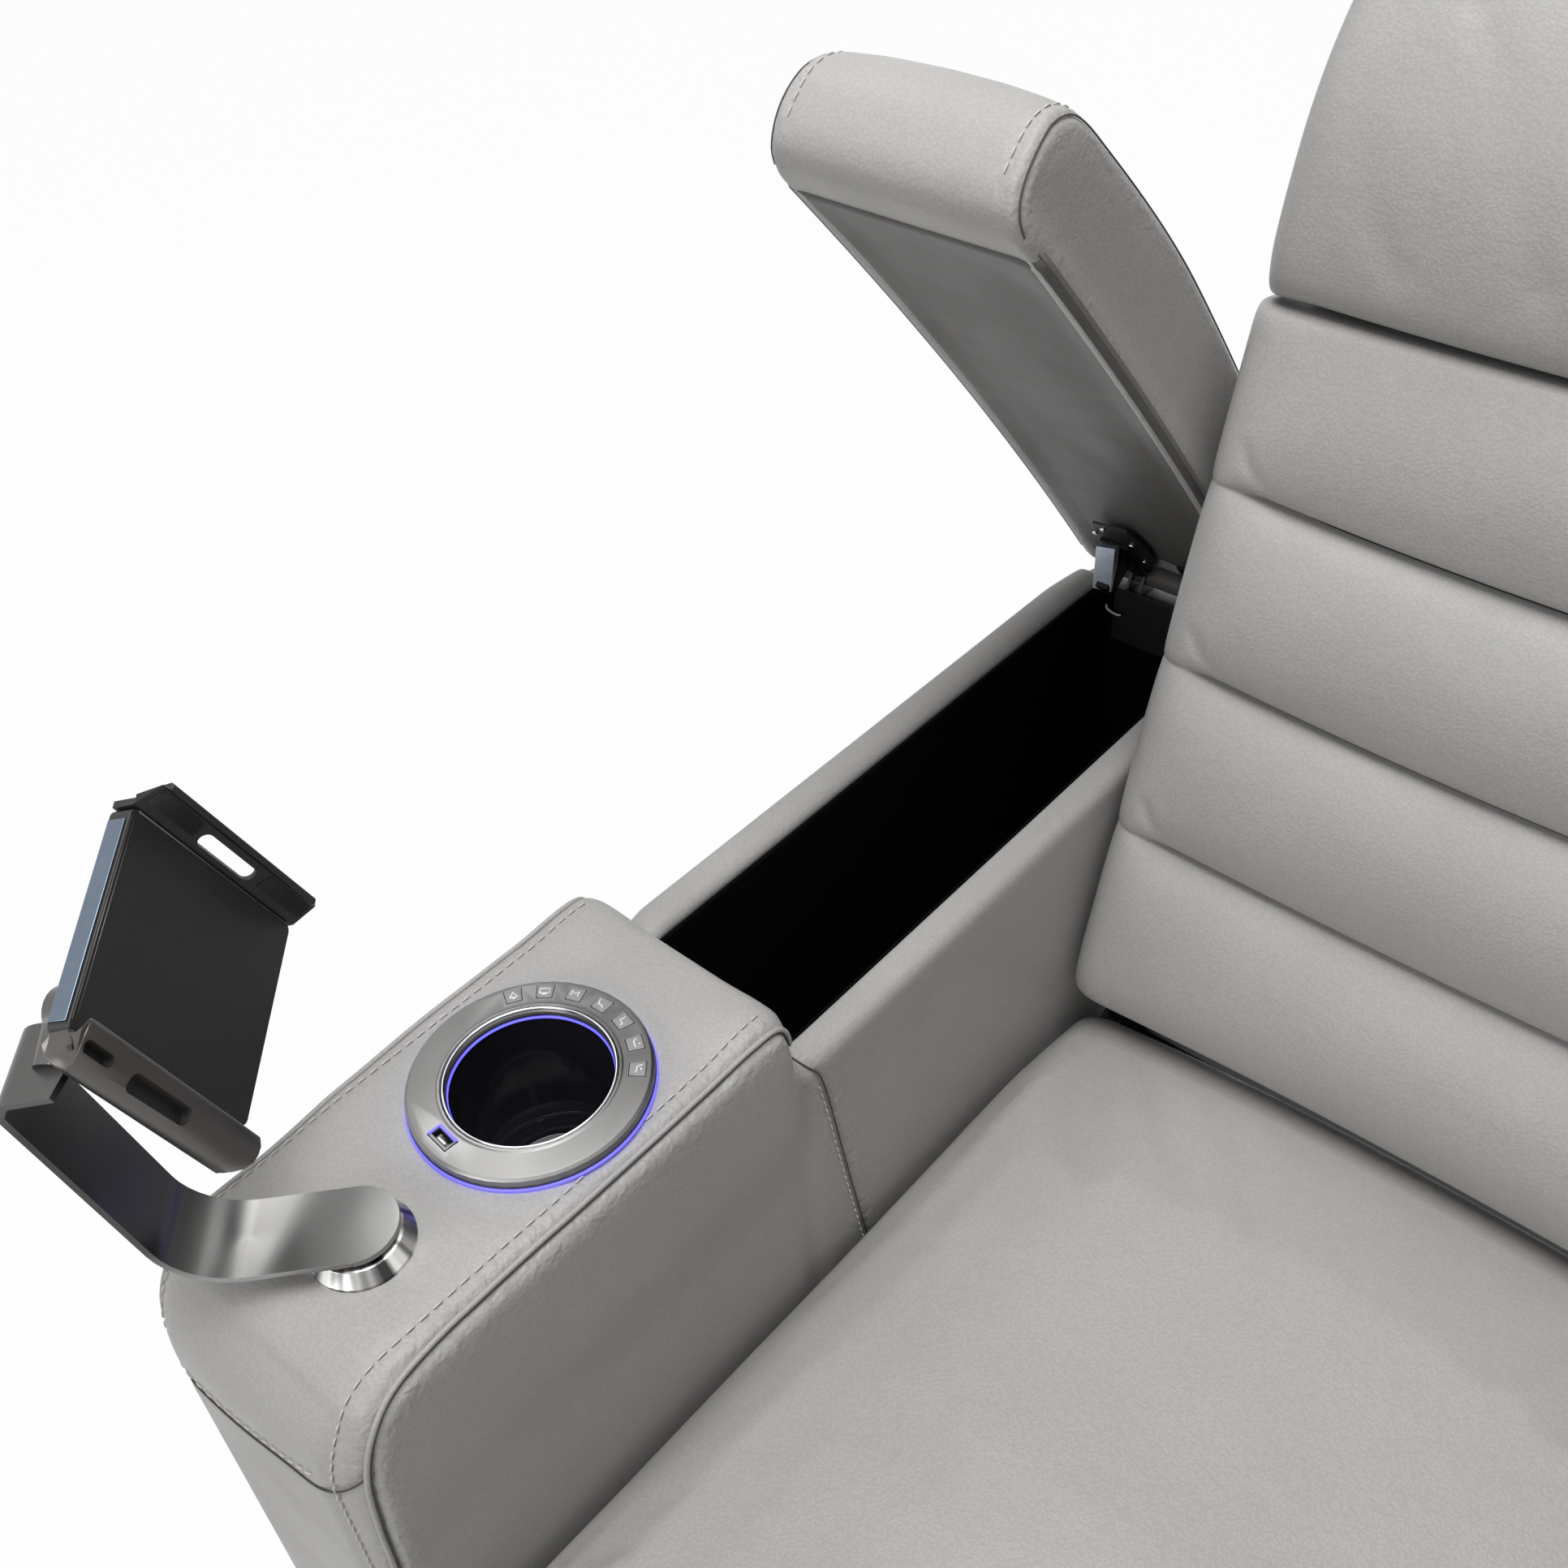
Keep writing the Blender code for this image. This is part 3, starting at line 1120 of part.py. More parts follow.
def cross_pin(name, side, place, from_layer, to_layer, radius, past=0.0015, sides=12):
    """A pin along X through the layers between two, standing a little proud of both."""
    faces = layer(side, from_layer) + layer(side, to_layer)
    low, high = min(faces) - past, max(faces) + past
    return rod(name, (low, place[0], place[1]), (high, place[0], place[1]), radius, sides=sides)


def stowed_elbow():
    """Where the drive link meets the scissor link with the footrest folded: the rear crossing."""
    near, far = Vector(DRIVE_PIVOT), Vector(PAD_PIVOT)
    run = far - near
    reach = math.sqrt(LINK_LENGTH ** 2 - (run.length / 2) ** 2)
    across = Vector((run.y, -run.x)).normalized()
    options = [(near + far) / 2 + across * reach, (near + far) / 2 - across * reach]
    return max(options, key=lambda spot: spot.x)


def make_base():
    """Rails and cross tubes bolted between the arms, with the mechanism's two side plates."""
    inner = SIDE_PLATE_X + PLATE_THICKNESS / 2 - RAIL_WIDTH / 2
    top = RAIL_BOTTOM + RAIL_HEIGHT
    frame = block("base_frame", (-inner - RAIL_WIDTH, RAIL_FRONT, RAIL_BOTTOM), (-inner, RAIL_REAR, top))
    extras = [block("rail_left", (inner, RAIL_FRONT, RAIL_BOTTOM), (inner + RAIL_WIDTH, RAIL_REAR, top))]
    reach = SEAT_HALF - GAP
    for i, y in enumerate((RAIL_FRONT + CROSS_TUBE_SETBACK, RAIL_REAR - RAIL_HEIGHT)):
        extras.append(block(f"cross_tube_{i}", (-reach, y, RAIL_BOTTOM + 0.001),
                            (reach, y + RAIL_HEIGHT, top - 0.001)))
    fuse(frame, extras)
    plates = []
    plate_rear = BACK_PIVOT_Y + 0.037
    drive_y, drive_z = DRIVE_PIVOT
    for side, word in ((-1, "right"), (1, "left")):
        low, high = layer(side, 0)
        outline = filleted([
            (RAIL_FRONT + 0.015, top + GAP, 0.006), (plate_rear, top + GAP, 0.006),
            (plate_rear, BACK_PIVOT_Z - 0.055, 0.02),
            (BACK_PIVOT_Y + 0.020, BACK_PIVOT_Z + 0.020, 0.018),
            (BACK_PIVOT_Y - 0.020, BACK_PIVOT_Z + 0.020, 0.018),
            (SEAT_BOX_REAR + 0.012, SEAT_BOX_BOTTOM - GAP, 0.006),
            (drive_y + 0.005, SEAT_BOX_BOTTOM - GAP, 0.010),
            (drive_y - PLATE_NOSE, drive_z + 0.014, 0.012), (drive_y - PLATE_NOSE, drive_z - 0.018, 0.010),
            (drive_y + 0.060, drive_z - 0.032, 0.03), (RAIL_FRONT, drive_z - 0.098, 0.03),
        ], 3)
        plate = slab(f"{word}_side_plate", outline, low, high)
        holes = [cross_pin(f"{word}_drive_hole", side, DRIVE_PIVOT, 0, 0,
                           TORQUE_TUBE_RADIUS + PIN_CLEARANCE, 0.01, 24),
                 cross_pin(f"{word}_back_hole", side, (BACK_PIVOT_Y, BACK_PIVOT_Z), 0, 0,
                           BACK_PIN_RADIUS + PIN_CLEARANCE, 0.01, 16)]
        pin = cross_pin(f"{word}_swing_pin", side, SWING_PIVOT, 0, 4, LINK_PIN_RADIUS)
        cut(plate, holes)
        fuse(plate, [pin])
        plates.append(plate)
    carry([frame] + plates)
    feet = []
    for side, word in ((-1, "right"), (1, "left")):
        for y, end in ((ARM_FRONT + FOOT_INSET_Y, "front"), (ARM_REAR - FOOT_INSET_Y, "rear")):
            feet.append(turned(f"foot_{end}_{word}", [
                (0, ARM_BOTTOM - GAP), (FOOT_RADIUS + 0.003, ARM_BOTTOM - GAP), (FOOT_RADIUS, 0.002),
                (FOOT_RADIUS - 0.002, 0), (0, 0)], (side * ARM_CENTRE, y, 0), "matte_black", 20,
                closed=False))
    carry(feet)


def make_footrest():
    """Drive, scissor, stay and swing links on both sides, the padded panel and its board."""
    elbow = stowed_elbow()
    drive_run = (elbow - Vector(DRIVE_PIVOT)).normalized()
    scissor_run = (Vector(PAD_PIVOT) - elbow).normalized()
    drive_end = elbow + drive_run * DRIVE_TAIL
    scissor_end = elbow - scissor_run * SCISSOR_TAIL
    stay_pivot = (PAD_PIVOT[0], PAD_PIVOT[1] - STAY_PIVOT_DROP)

    drive_axis = pivot("footrest_drive_axis", (0, *DRIVE_PIVOT))
    scissor_axis = pivot("footrest_scissor_axis", (0, *elbow), 0.0)
    pad_axis = pivot("footrest_pad_axis", (0, *PAD_PIVOT))
    stay_axis = pivot("footrest_stay_axis", (0, *stay_pivot))
    swing_axis = pivot("footrest_swing_axis", (0, *SWING_PIVOT))

    end_x = SIDE_PLATE_X + PLATE_THICKNESS + 0.002
    drive = rod("footrest_drive_links", (-end_x, *DRIVE_PIVOT), (end_x, *DRIVE_PIVOT), TORQUE_TUBE_RADIUS,
                sides=24)
    drive_bars = []
    scissor_bars = []
    pad_ears = []
    stays = []
    swings = []
    for side, word in ((-1, "right"), (1, "left")):
        bar = link_plate(f"{word}_drive_bar", DRIVE_PIVOT, drive_end, *layer(side, 2), width=0.024)
        pin = cross_pin(f"{word}_elbow_pin", side, elbow, 2, 3, LINK_PIN_RADIUS)
        drive_bars += [bar, pin]
        bar = link_plate(f"{word}_scissor_bar", scissor_end, PAD_PIVOT, *layer(side, 3))
        hole = cross_pin(f"{word}_elbow_hole", side, elbow, 3, 3, LINK_PIN_RADIUS + PIN_CLEARANCE, 0.003)
        hole_end = cross_pin(f"{word}_pad_hole", side, PAD_PIVOT, 3, 3, LINK_PIN_RADIUS + PIN_CLEARANCE,
                             0.003)
        scissor_bars.append((bar, hole, hole_end))
        ear_layer = layer(side, 2)
        ear = slab(f"{word}_pad_ear", filleted([
            (PAD_BACK + GAP, PAD_PIVOT[1] + 0.035, 0.004), (PAD_BACK + GAP, stay_pivot[1] - 0.022, 0.004),
            (stay_pivot[0] + 0.010, stay_pivot[1] - 0.012, 0.009),
            (PAD_PIVOT[0] + 0.010, PAD_PIVOT[1] + 0.012, 0.009),
        ], 3), *ear_layer)
        pad_ears += [ear, cross_pin(f"{word}_pad_pin", side, PAD_PIVOT, 2, 3, LINK_PIN_RADIUS),
                     cross_pin(f"{word}_stay_pin", side, stay_pivot, 1, 2, LINK_PIN_RADIUS)]
        stay = link_plate(f"{word}_stay_link", stay_pivot, drive_end, *layer(side, 1))
        cut(stay, [cross_pin(f"{word}_stay_hole", side, stay_pivot, 1, 1, LINK_PIN_RADIUS + PIN_CLEARANCE,
                             0.003)])
        stays.append(stay)
        run = (scissor_end - Vector(SWING_PIVOT)).normalized()
        knee = Vector(SWING_PIVOT) + run * SWING_KNEE + Vector((-run.y, run.x)) * SWING_BOW
        swing = link_plate(f"{word}_swing_link", SWING_PIVOT, knee, *layer(side, 4))
        fuse(swing, [link_plate(f"{word}_swing_arm", knee, scissor_end, *layer(side, 4))])
        cut(swing, [cross_pin(f"{word}_swing_hole", side, SWING_PIVOT, 4, 4,
                              LINK_PIN_RADIUS + PIN_CLEARANCE, 0.003)])
        swings.append(swing)
    fuse(drive, drive_bars)

    tie_y, tie_z = (Vector(PAD_PIVOT) + scissor_run * -0.040)
    reach = SIDE_PLATE_X - 3 * LAYER_STEP + 0.002
    scissor = rod("footrest_scissor_links", (-reach, tie_y, tie_z), (reach, tie_y, tie_z), 0.007, sides=16)
    fuse(scissor, [bars[0] for bars in scissor_bars])
    cut(scissor, [piece for bars in scissor_bars for piece in bars[1:]])

    board_front = PAD_BACK - PAD_BOARD
    board = block("footrest_board", (-CUSHION_HALF + 0.012, board_front, PAD_BOTTOM + 0.012),
                  (CUSHION_HALF - 0.012, PAD_BACK, PAD_TOP - 0.012), "wood")
    bracket_low, bracket_high = ordered(*layer(1, 2))
    for side in (-1, 1):
        low, high = layer(side, 2)
        pad_ears.append(block(f"ear_foot_{side}", (low - 0.012, PAD_BACK - 0.001, stay_pivot[1] - 0.018),
                              (high + 0.003, PAD_BACK + 0.003, PAD_PIVOT[1] + 0.031)))
    fuse(board, pad_ears)

    profile = filleted([
        (board_front - GAP, PAD_BOTTOM, 0.008), (board_front - GAP, PAD_TOP, 0.008),
        (PAD_FRONT, PAD_TOP, 0.026), (PAD_FRONT, PAD_BOTTOM, 0.026)], 4)
    middle = (PAD_TOP + PAD_BOTTOM) / 2
    rings = []
    for x, _, draw in cushion_places(CUSHION_HALF, PAD_EDGE, 4, 4):
        inset = PAD_EDGE * draw
        ring = []
        for y, z in profile:
            forward = (board_front - y) / (board_front - PAD_FRONT)
            ring.append((x, y + inset * forward, z - math.copysign(inset * 0.4, z - middle)))
        rings.append(ring)
    pad = loft("footrest_pad", rings, "leather")

    carry(drive, drive_axis, drive_axis.location)
    carry(scissor, scissor_axis, scissor_axis.location)
    carry([board, pad], pad_axis, pad_axis.location)
    carry(stays, stay_axis, stay_axis.location)
    carry(swings, swing_axis, swing_axis.location)


def make_motors():
    """Recline actuator behind the seat and the gear motor on the footrest's drive tube."""
    lever_ends = []
    for turn in (0.0, RECLINE_DEG):
        angle = math.radians(LEVER_REST_DEG - turn)
        lever_ends.append(Vector((BACK_PIVOT_Y + LEVER_LENGTH * math.sin(angle),
                                  BACK_PIVOT_Z - LEVER_LENGTH * math.cos(angle))))
    eye = lever_ends[0]
    push = (lever_ends[1] - eye).normalized()

    def on_axis(distance):
        spot = eye - push * distance
        return 0.0, spot.x, spot.y

    piston = rod("recline_rod", on_axis(0.026), on_axis(ACTUATOR_ROD_LENGTH), ACTUATOR_ROD_RADIUS, "chrome",
                 20)
    fork = []
    for i, way in enumerate((-1, 1)):
        low, high = ordered(way * 0.0040, way * 0.0085)
        fork.append(link_plate(f"rod_fork_{i}", on_axis(0.0)[1:], on_axis(0.028)[1:], low, high, width=0.022))
    fuse(piston, fork)
    body_start = ACTUATOR_ROD_LENGTH - ACTUATOR_ROD_INSIDE
    body_end = body_start + ACTUATOR_BODY_LENGTH
    body = rod("recline_motor", on_axis(body_start), on_axis(body_end), ACTUATOR_TUBE_RADIUS, "matte_black",
               28)
    bore = rod("rod_bore", on_axis(body_start - 0.01), on_axis(ACTUATOR_ROD_LENGTH + 0.004),
               ACTUATOR_ROD_RADIUS + SLIDE_CLEARANCE, sides=20)
    top = RAIL_BOTTOM + RAIL_HEIGHT
    tail = on_axis(body_end - 0.014)
    post = block("actuator_post", (-0.014, tail[1] - 0.012, top + 0.001), (0.014, tail[1] + 0.018, tail[2]))
    sole = block("actuator_sole", (-0.034, tail[1] - 0.012, top - 0.001 + GAP),
                 (0.034, tail[1] + 0.018, top + 0.006))
    gearbox = settle(block("actuator_gearbox", (-0.028, tail[1] - 0.045, tail[2] - 0.030),
                           (0.028, tail[1] + 0.010, tail[2] + 0.026), bevel=0.006))
    barrel = rod("actuator_barrel", (0.020, tail[1] - 0.018, tail[2] - 0.002),
                 (0.040 + MOTOR_BARREL_LENGTH, tail[1] - 0.018, tail[2] - 0.002), MOTOR_BARREL_RADIUS,
                 sides=28)
    fuse(body, [post, sole, gearbox, barrel])
    cut(body, [bore])

    tube = DRIVE_PIVOT
    half = MOTOR_HALF_WIDTH
    housing = settle(block("footrest_motor", (-half, tube[0] - 0.026, tube[1] - 0.026),
                           (half, tube[0] + 0.030, SEAT_BOX_BOTTOM - GAP), "matte_black", bevel=0.003))
    motor = rod("footrest_barrel", (half - 0.005, tube[0] + 0.005, tube[1] - 0.001),
                (half + MOTOR_BARREL_LENGTH, tube[0] + 0.005, tube[1] - 0.001), MOTOR_BARREL_RADIUS, sides=28)
    hole = rod("tube_hole", (-0.20, *tube), (0.20, *tube), TORQUE_TUBE_RADIUS + PIN_CLEARANCE, sides=24)
    fuse(housing, [motor])
    cut(housing, [hole])
    slide = pivot("recline_rod_axis", (0, eye.x, eye.y))
    carry(piston, slide, slide.location)
    carry([body, housing])


def stand_on_middle():
    """Moves the chair so that the middle of its box's floor is the world's origin."""
    bpy.context.view_layer.update()
    graph = bpy.context.evaluated_depsgraph_get()
    low = Vector((1e9,) * 3)
    high = Vector((-1e9,) * 3)
    for thing in PARTS.objects:
        if thing.type != "MESH":
            continue
        seen = thing.evaluated_get(graph)
        mesh = seen.to_mesh()
        for corner in mesh.vertices:
            spot = seen.matrix_world @ corner.co
            low = Vector(map(min, low, spot))
            high = Vector(map(max, high, spot))
        seen.to_mesh_clear()
    CHAIR.location = (-(low.x + high.x) / 2, -(low.y + high.y) / 2, -low.z)
    bpy.context.view_layer.update()
    print("box", [round(v, 4) for v in (high - low)])


def smooth_round_pieces():
    for thing in PARTS.objects:
        if thing.type == "MESH":
            thing.data.shade_smooth()
            thing.data.set_sharp_from_angle(angle=math.radians(35))


make_base()
make_arm(-1, "right")
make_arm(1, "left")
make_seat()
make_back()
make_footrest()
make_motors()
smooth_round_pieces()
stand_on_middle()
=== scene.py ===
# %% [markdown]
# A power recliner for a home theatre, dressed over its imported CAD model. The camera looks down on the
# sitter's right arm: a leather console with a lighted cup holder, a phone holder on a bent steel strap,
# a storage well with its lid standing open, part of the channelled back and part of the seat.
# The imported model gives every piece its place, so nothing here is fitted by eye to the object.

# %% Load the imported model
import json
import math

import bmesh
import bpy
import numpy as np
from mathutils import Matrix, Vector
from mathutils.bvhtree import BVHTree
from mathutils.kdtree import KDTree


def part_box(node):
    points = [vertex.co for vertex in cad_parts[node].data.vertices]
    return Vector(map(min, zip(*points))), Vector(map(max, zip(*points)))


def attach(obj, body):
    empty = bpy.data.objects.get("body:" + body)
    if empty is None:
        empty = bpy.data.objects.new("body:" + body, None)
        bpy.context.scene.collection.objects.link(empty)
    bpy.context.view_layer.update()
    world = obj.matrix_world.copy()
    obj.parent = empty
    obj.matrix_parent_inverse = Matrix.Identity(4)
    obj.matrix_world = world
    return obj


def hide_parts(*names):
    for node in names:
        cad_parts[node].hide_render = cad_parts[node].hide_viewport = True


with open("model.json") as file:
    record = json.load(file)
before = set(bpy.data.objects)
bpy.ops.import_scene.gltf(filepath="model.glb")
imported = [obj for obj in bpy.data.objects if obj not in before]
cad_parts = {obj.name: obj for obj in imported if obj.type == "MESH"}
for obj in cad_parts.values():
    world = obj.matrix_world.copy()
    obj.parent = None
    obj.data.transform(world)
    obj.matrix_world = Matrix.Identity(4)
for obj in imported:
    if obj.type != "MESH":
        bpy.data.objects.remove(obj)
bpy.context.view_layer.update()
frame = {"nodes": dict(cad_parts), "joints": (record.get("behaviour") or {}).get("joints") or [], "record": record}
nodes = frame["nodes"]
print("CAD nodes:", len(nodes))

# %% [markdown]
# Most places on this chair were measured from the middle of the cup ring's face. The helper at() takes
# such a place in millimetres and gives the world's metres: x towards the seat, y towards the back, z up.
# The other arm is the mirror of this one about the chair's middle.

# %% Places
ring_low, ring_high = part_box("right_cup_ring")
ring_middle = Vector(((ring_low.x + ring_high.x) / 2, (ring_low.y + ring_high.y) / 2, 0.640))
seat_low, seat_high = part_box("seat_cushion")
chair_x = (seat_low.x + seat_high.x) / 2


def at(x, y, z):
    return ring_middle + Vector((x, y, z)) / 1000


def mirrored(point):
    return Vector((2 * chair_x - point.x, point.y, point.z))


FLIP = Matrix.Translation((2 * chair_x, 0, 0)) @ Matrix.Diagonal((-1, 1, 1, 1))
MM = 1000.0   # object coordinates are metres, so a pattern of n mm has a scale of MM / n
UP = Vector((0, 0, 1))
print("cup ring at", [round(v, 4) for v in ring_middle], "chair middle x", round(chair_x, 4))

# %% [markdown]
# The camera stands in front of the seat, about a metre away, and looks down over the arm. Its place, turn
# and focal length come from solving the photograph's perspective with the round ring and the arm's edges.

# %% Camera
def look(azimuth, pitch, roll):
    """Camera axes in the world: right, up and backwards, from angles in degrees."""
    a, p, r = (math.radians(v) for v in (azimuth, pitch, roll))
    ahead = Vector((-math.sin(a) * math.cos(p), math.cos(a) * math.cos(p), -math.sin(p)))
    right = Vector((math.cos(a), math.sin(a), 0))
    down = ahead.cross(right)
    turned_right = right * math.cos(r) + down * math.sin(r)
    turned_down = down * math.cos(r) - right * math.sin(r)
    return turned_right, -turned_down, -ahead


camera_data = bpy.data.cameras.new("camera")
camera_data.lens = 34.47
camera_data.sensor_width = 36.0
camera_data.clip_start = 0.05
camera = bpy.data.objects.new("camera", camera_data)
bpy.context.scene.collection.objects.link(camera)
camera_axes = look(45.0, 40.5, 5.04)
camera.matrix_world = Matrix.Translation(at(456.9, -252.6, 615.9)) @ Matrix(camera_axes).transposed(
    ).to_4x4()
bpy.context.scene.camera = camera
print("camera at", [round(v, 3) for v in camera.location])

# %% [markdown]
# The floor is plain and near white. To the camera and in reflections it shows as an even white, so that the
# background stays clean and polished metal has something to show; the rest of it is an ordinary pale surface
# that keeps the chair's shadow. The light is plain: one wide softbox overhead and a lower one in front, with
# a little light from the room. A small panel behind the arm gives the metal its broad highlights.

# %% One helper for all shader nodes
def shader(tree, kind, settings=None, inputs=None, links=None):
    """Adds a shader node, sets its properties and input values, and links its inputs from other outputs."""
    made = tree.nodes.new("ShaderNode" + kind)
    for key, value in (settings or {}).items():
        setattr(made, key, value)
    for key, value in (inputs or {}).items():
        made.inputs[key].default_value = value
    for key, output in (links or {}).items():
        tree.links.new(output, made.inputs[key])
    return made


def srgb(code):
    """Linear colour of a hex code such as C0FFEE."""
    values = [int(code[i:i + 2], 16) / 255 for i in (0, 2, 4)]
    return tuple(v / 12.92 if v <= 0.04045 else ((v + 0.055) / 1.055) ** 2.4 for v in values) + (1.0,)


def blank_material(name):
    made = bpy.data.materials.new(name)
    made.use_nodes = True
    made.node_tree.nodes.clear()
    return made, made.node_tree


def surfaced(made, skin):
    """Ends a material: its surface shows the shader node skin."""
    shader(made.node_tree, "OutputMaterial", links={"Surface": skin.outputs[0]})
    return made


def noise(tree, place, size_mm, detail, **more):
    """Noise with features of about size_mm millimetres."""
    inputs = {"Scale": MM / size_mm, "Detail": detail}
    inputs.update(more)
    return shader(tree, "TexNoise", inputs=inputs, links={"Vector": place})


def ranged(tree, value, low, high, new_low=0.0, new_high=1.0):
    """Maps a value from one range to another."""
    inputs = {"From Min": low, "From Max": high, "To Min": new_low, "To Max": new_high}
    return shader(tree, "MapRange", inputs=inputs, links={0: value}).outputs[0]


def relief(tree, height, strength, distance, under=None, invert=False):
    """A bump of a height output, laid over the bump under it."""
    links = {"Height": height}
    if under:
        links["Normal"] = under.outputs[0]
    return shader(tree, "Bump", {"invert": invert}, {"Strength": strength, "Distance": distance}, links)


def place_in(tree):
    """Object coordinates: metres on the piece itself, so that a pattern stays on it when it moves."""
    return shader(tree, "TexCoord").outputs["Object"]


# %% Floor, world and lamps
def shown_white(tree):
    """One for rays from the camera, from glossy surfaces and through glass, else nought."""
    path = shader(tree, "LightPath")
    either = shader(tree, "Math", {"operation": "MAXIMUM"},
        links={0: path.outputs["Is Camera Ray"], 1: path.outputs["Is Glossy Ray"]})
    return shader(tree, "Math", {"operation": "MAXIMUM"},
        links={0: either.outputs[0], 1: path.outputs["Is Transmission Ray"]}).outputs[0]


def white_floor():
    made, tree = blank_material("painted_studio_floor")
    paint = shader(tree, "BsdfDiffuse", inputs={"Color": srgb("F4F4F2")})
    bright = shader(tree, "Emission", inputs={"Color": (1, 1, 1, 1), "Strength": 1.0})
    share = shader(tree, "Math", {"operation": "MULTIPLY"}, {1: 0.975}, {0: shown_white(tree)})
    mixed = shader(tree, "MixShader", links={0: share.outputs[0], 1: paint.outputs[0],
        2: bright.outputs[0]})
    return surfaced(made, mixed)


floor_mesh = bpy.data.meshes.new("studio_floor")
floor_mesh.from_pydata([(-9, -9, 0), (9, -9, 0), (9, 9, 0), (-9, 9, 0)], [], [(0, 1, 2, 3)])
floor = bpy.data.objects.new("studio_floor", floor_mesh)
bpy.context.scene.collection.objects.link(floor)
floor_mesh.materials.append(white_floor())

world = bpy.data.worlds.new("soft_room")
world.use_nodes = True
bpy.context.scene.world = world
world.node_tree.nodes.clear()
tree = world.node_tree
room = shader(tree, "Background", inputs={"Color": (1, 1, 1, 1), "Strength": 0.07})
seen = shader(tree, "Background", inputs={"Color": (1, 1, 1, 1), "Strength": 1.0})
mixed = shader(tree, "MixShader", links={0: shown_white(tree), 1: room.outputs[0], 2: seen.outputs[0]})
shader(tree, "OutputWorld", links={"Surface": mixed.outputs[0]})


def softbox(name, place, target, size, watts):
    data = bpy.data.lights.new(name, "AREA")
    data.shape = "RECTANGLE"
    data.size, data.size_y = size
    data.energy = watts
    lamp = bpy.data.objects.new(name, data)
    bpy.context.scene.collection.objects.link(lamp)
    lamp.location = place
    lamp.rotation_euler = (Vector(target) - Vector(place)).to_track_quat("-Z", "Y").to_euler()
    return lamp


softbox("overhead_softbox", (-0.1, -0.2, 3.0), (-0.1, 0.0, 0.5), (1.6, 1.6), 54)
softbox("front_softbox", (-0.1, -2.6, 1.7), (-0.1, 0.0, 0.5), (1.6, 1.2), 24)
softbox("metal_panel", (-1.77, 0.34, 2.47), (-0.45, -0.35, 0.65), (0.45, 0.45), 3.5)
print("floor, world and lamps ready")

# %% [markdown]
# The leather is a pigmented, embossed hide in a light warm grey. Its finish is a thin polymer coat, so it
# is a dielectric with an IOR near 1.5 and a satin sheen; the pebble grain is pressed in, with cells about
# 1.8 mm across and finer creases between them. The colour drifts a little over a hand's breadth.

# %% Leather
def embossed_leather(name, colour, shade, grain_mm=1.9, depth_mm=0.12, roughness=0.47):
    made, tree = blank_material(name)
    place = place_in(tree)
    drift = noise(tree, place, 90, 3.0, Roughness=0.55)
    tint = shader(tree, "Mix", {"data_type": "RGBA"}, {6: srgb(colour), 7: srgb(shade)},
        {0: drift.outputs["Fac"]})
    warp = noise(tree, place, 4, 2.0)
    shift = shader(tree, "VectorMath", {"operation": "SCALE"}, {"Scale": 0.0022},
        {0: warp.outputs["Color"]})
    moved = shader(tree, "VectorMath", {"operation": "ADD"}, links={0: place, 1: shift.outputs[0]})
    pebble = shader(tree, "TexVoronoi", {"feature": "SMOOTH_F1"},
        {"Scale": MM / grain_mm, "Smoothness": 0.35}, {"Vector": moved.outputs[0]})
    pore = noise(tree, place, 1.1, 3.0, Roughness=0.65)
    hide = noise(tree, place, 26, 2.5, Roughness=0.5, Distortion=0.4)
    # The pebble's hollows are painted a little darker: painted shade in the grain.
    grain_pit_shade = ranged(tree, pebble.outputs["Distance"], 0.30, 0.62, 1.0, 0.92)
    tint_with_pit_shade = shader(tree, "VectorMath", {"operation": "SCALE"}, links={0: tint.outputs[2], "Scale": grain_pit_shade})
    bump_far = relief(tree, hide.outputs["Fac"], 0.38, 0.0016)
    bump_mid = relief(tree, pebble.outputs["Distance"], 0.68, depth_mm / MM * 2, bump_far, invert=True)
    bump_near = relief(tree, pore.outputs["Fac"], 0.35, 0.00012, bump_mid)
    gloss = ranged(tree, drift.outputs["Fac"], 0.35, 0.7, roughness - 0.05, roughness + 0.07)
    gathered = shader(tree, "Attribute", {"attribute_name": "pucker"})
    folds = noise(tree, place, 7, 1.5, Roughness=0.5, Distortion=0.6)
    fold_height = shader(tree, "Math", {"operation": "MULTIPLY"},
        links={0: folds.outputs["Fac"], 1: gathered.outputs["Fac"]})
    bump_fold = relief(tree, fold_height.outputs[0], 0.75, 0.0022, bump_near)
    coat = {"IOR": 1.5, "Specular IOR Level": 0.38, "Sheen Weight": 0.03, "Sheen Roughness": 0.4}
    skin = shader(tree, "BsdfPrincipled", inputs=coat,
        links={"Base Color": tint_with_pit_shade.outputs[0], "Roughness": gloss, "Normal": bump_fold.outputs[0]})
    return surfaced(made, skin)


leather = embossed_leather("light_grey_embossed_leather", "B5B3B1", "ACAAA8")
# A darker copy of the leather for the lid's lining panel and the roll at its hinge: painted shade on faces that
# look down and away from the light.
painted_shade_leather = embossed_leather("lining_in_painted_shade", "64625F", "5E5C5A", 1.6, 0.08, 0.5)
print("leather ready")
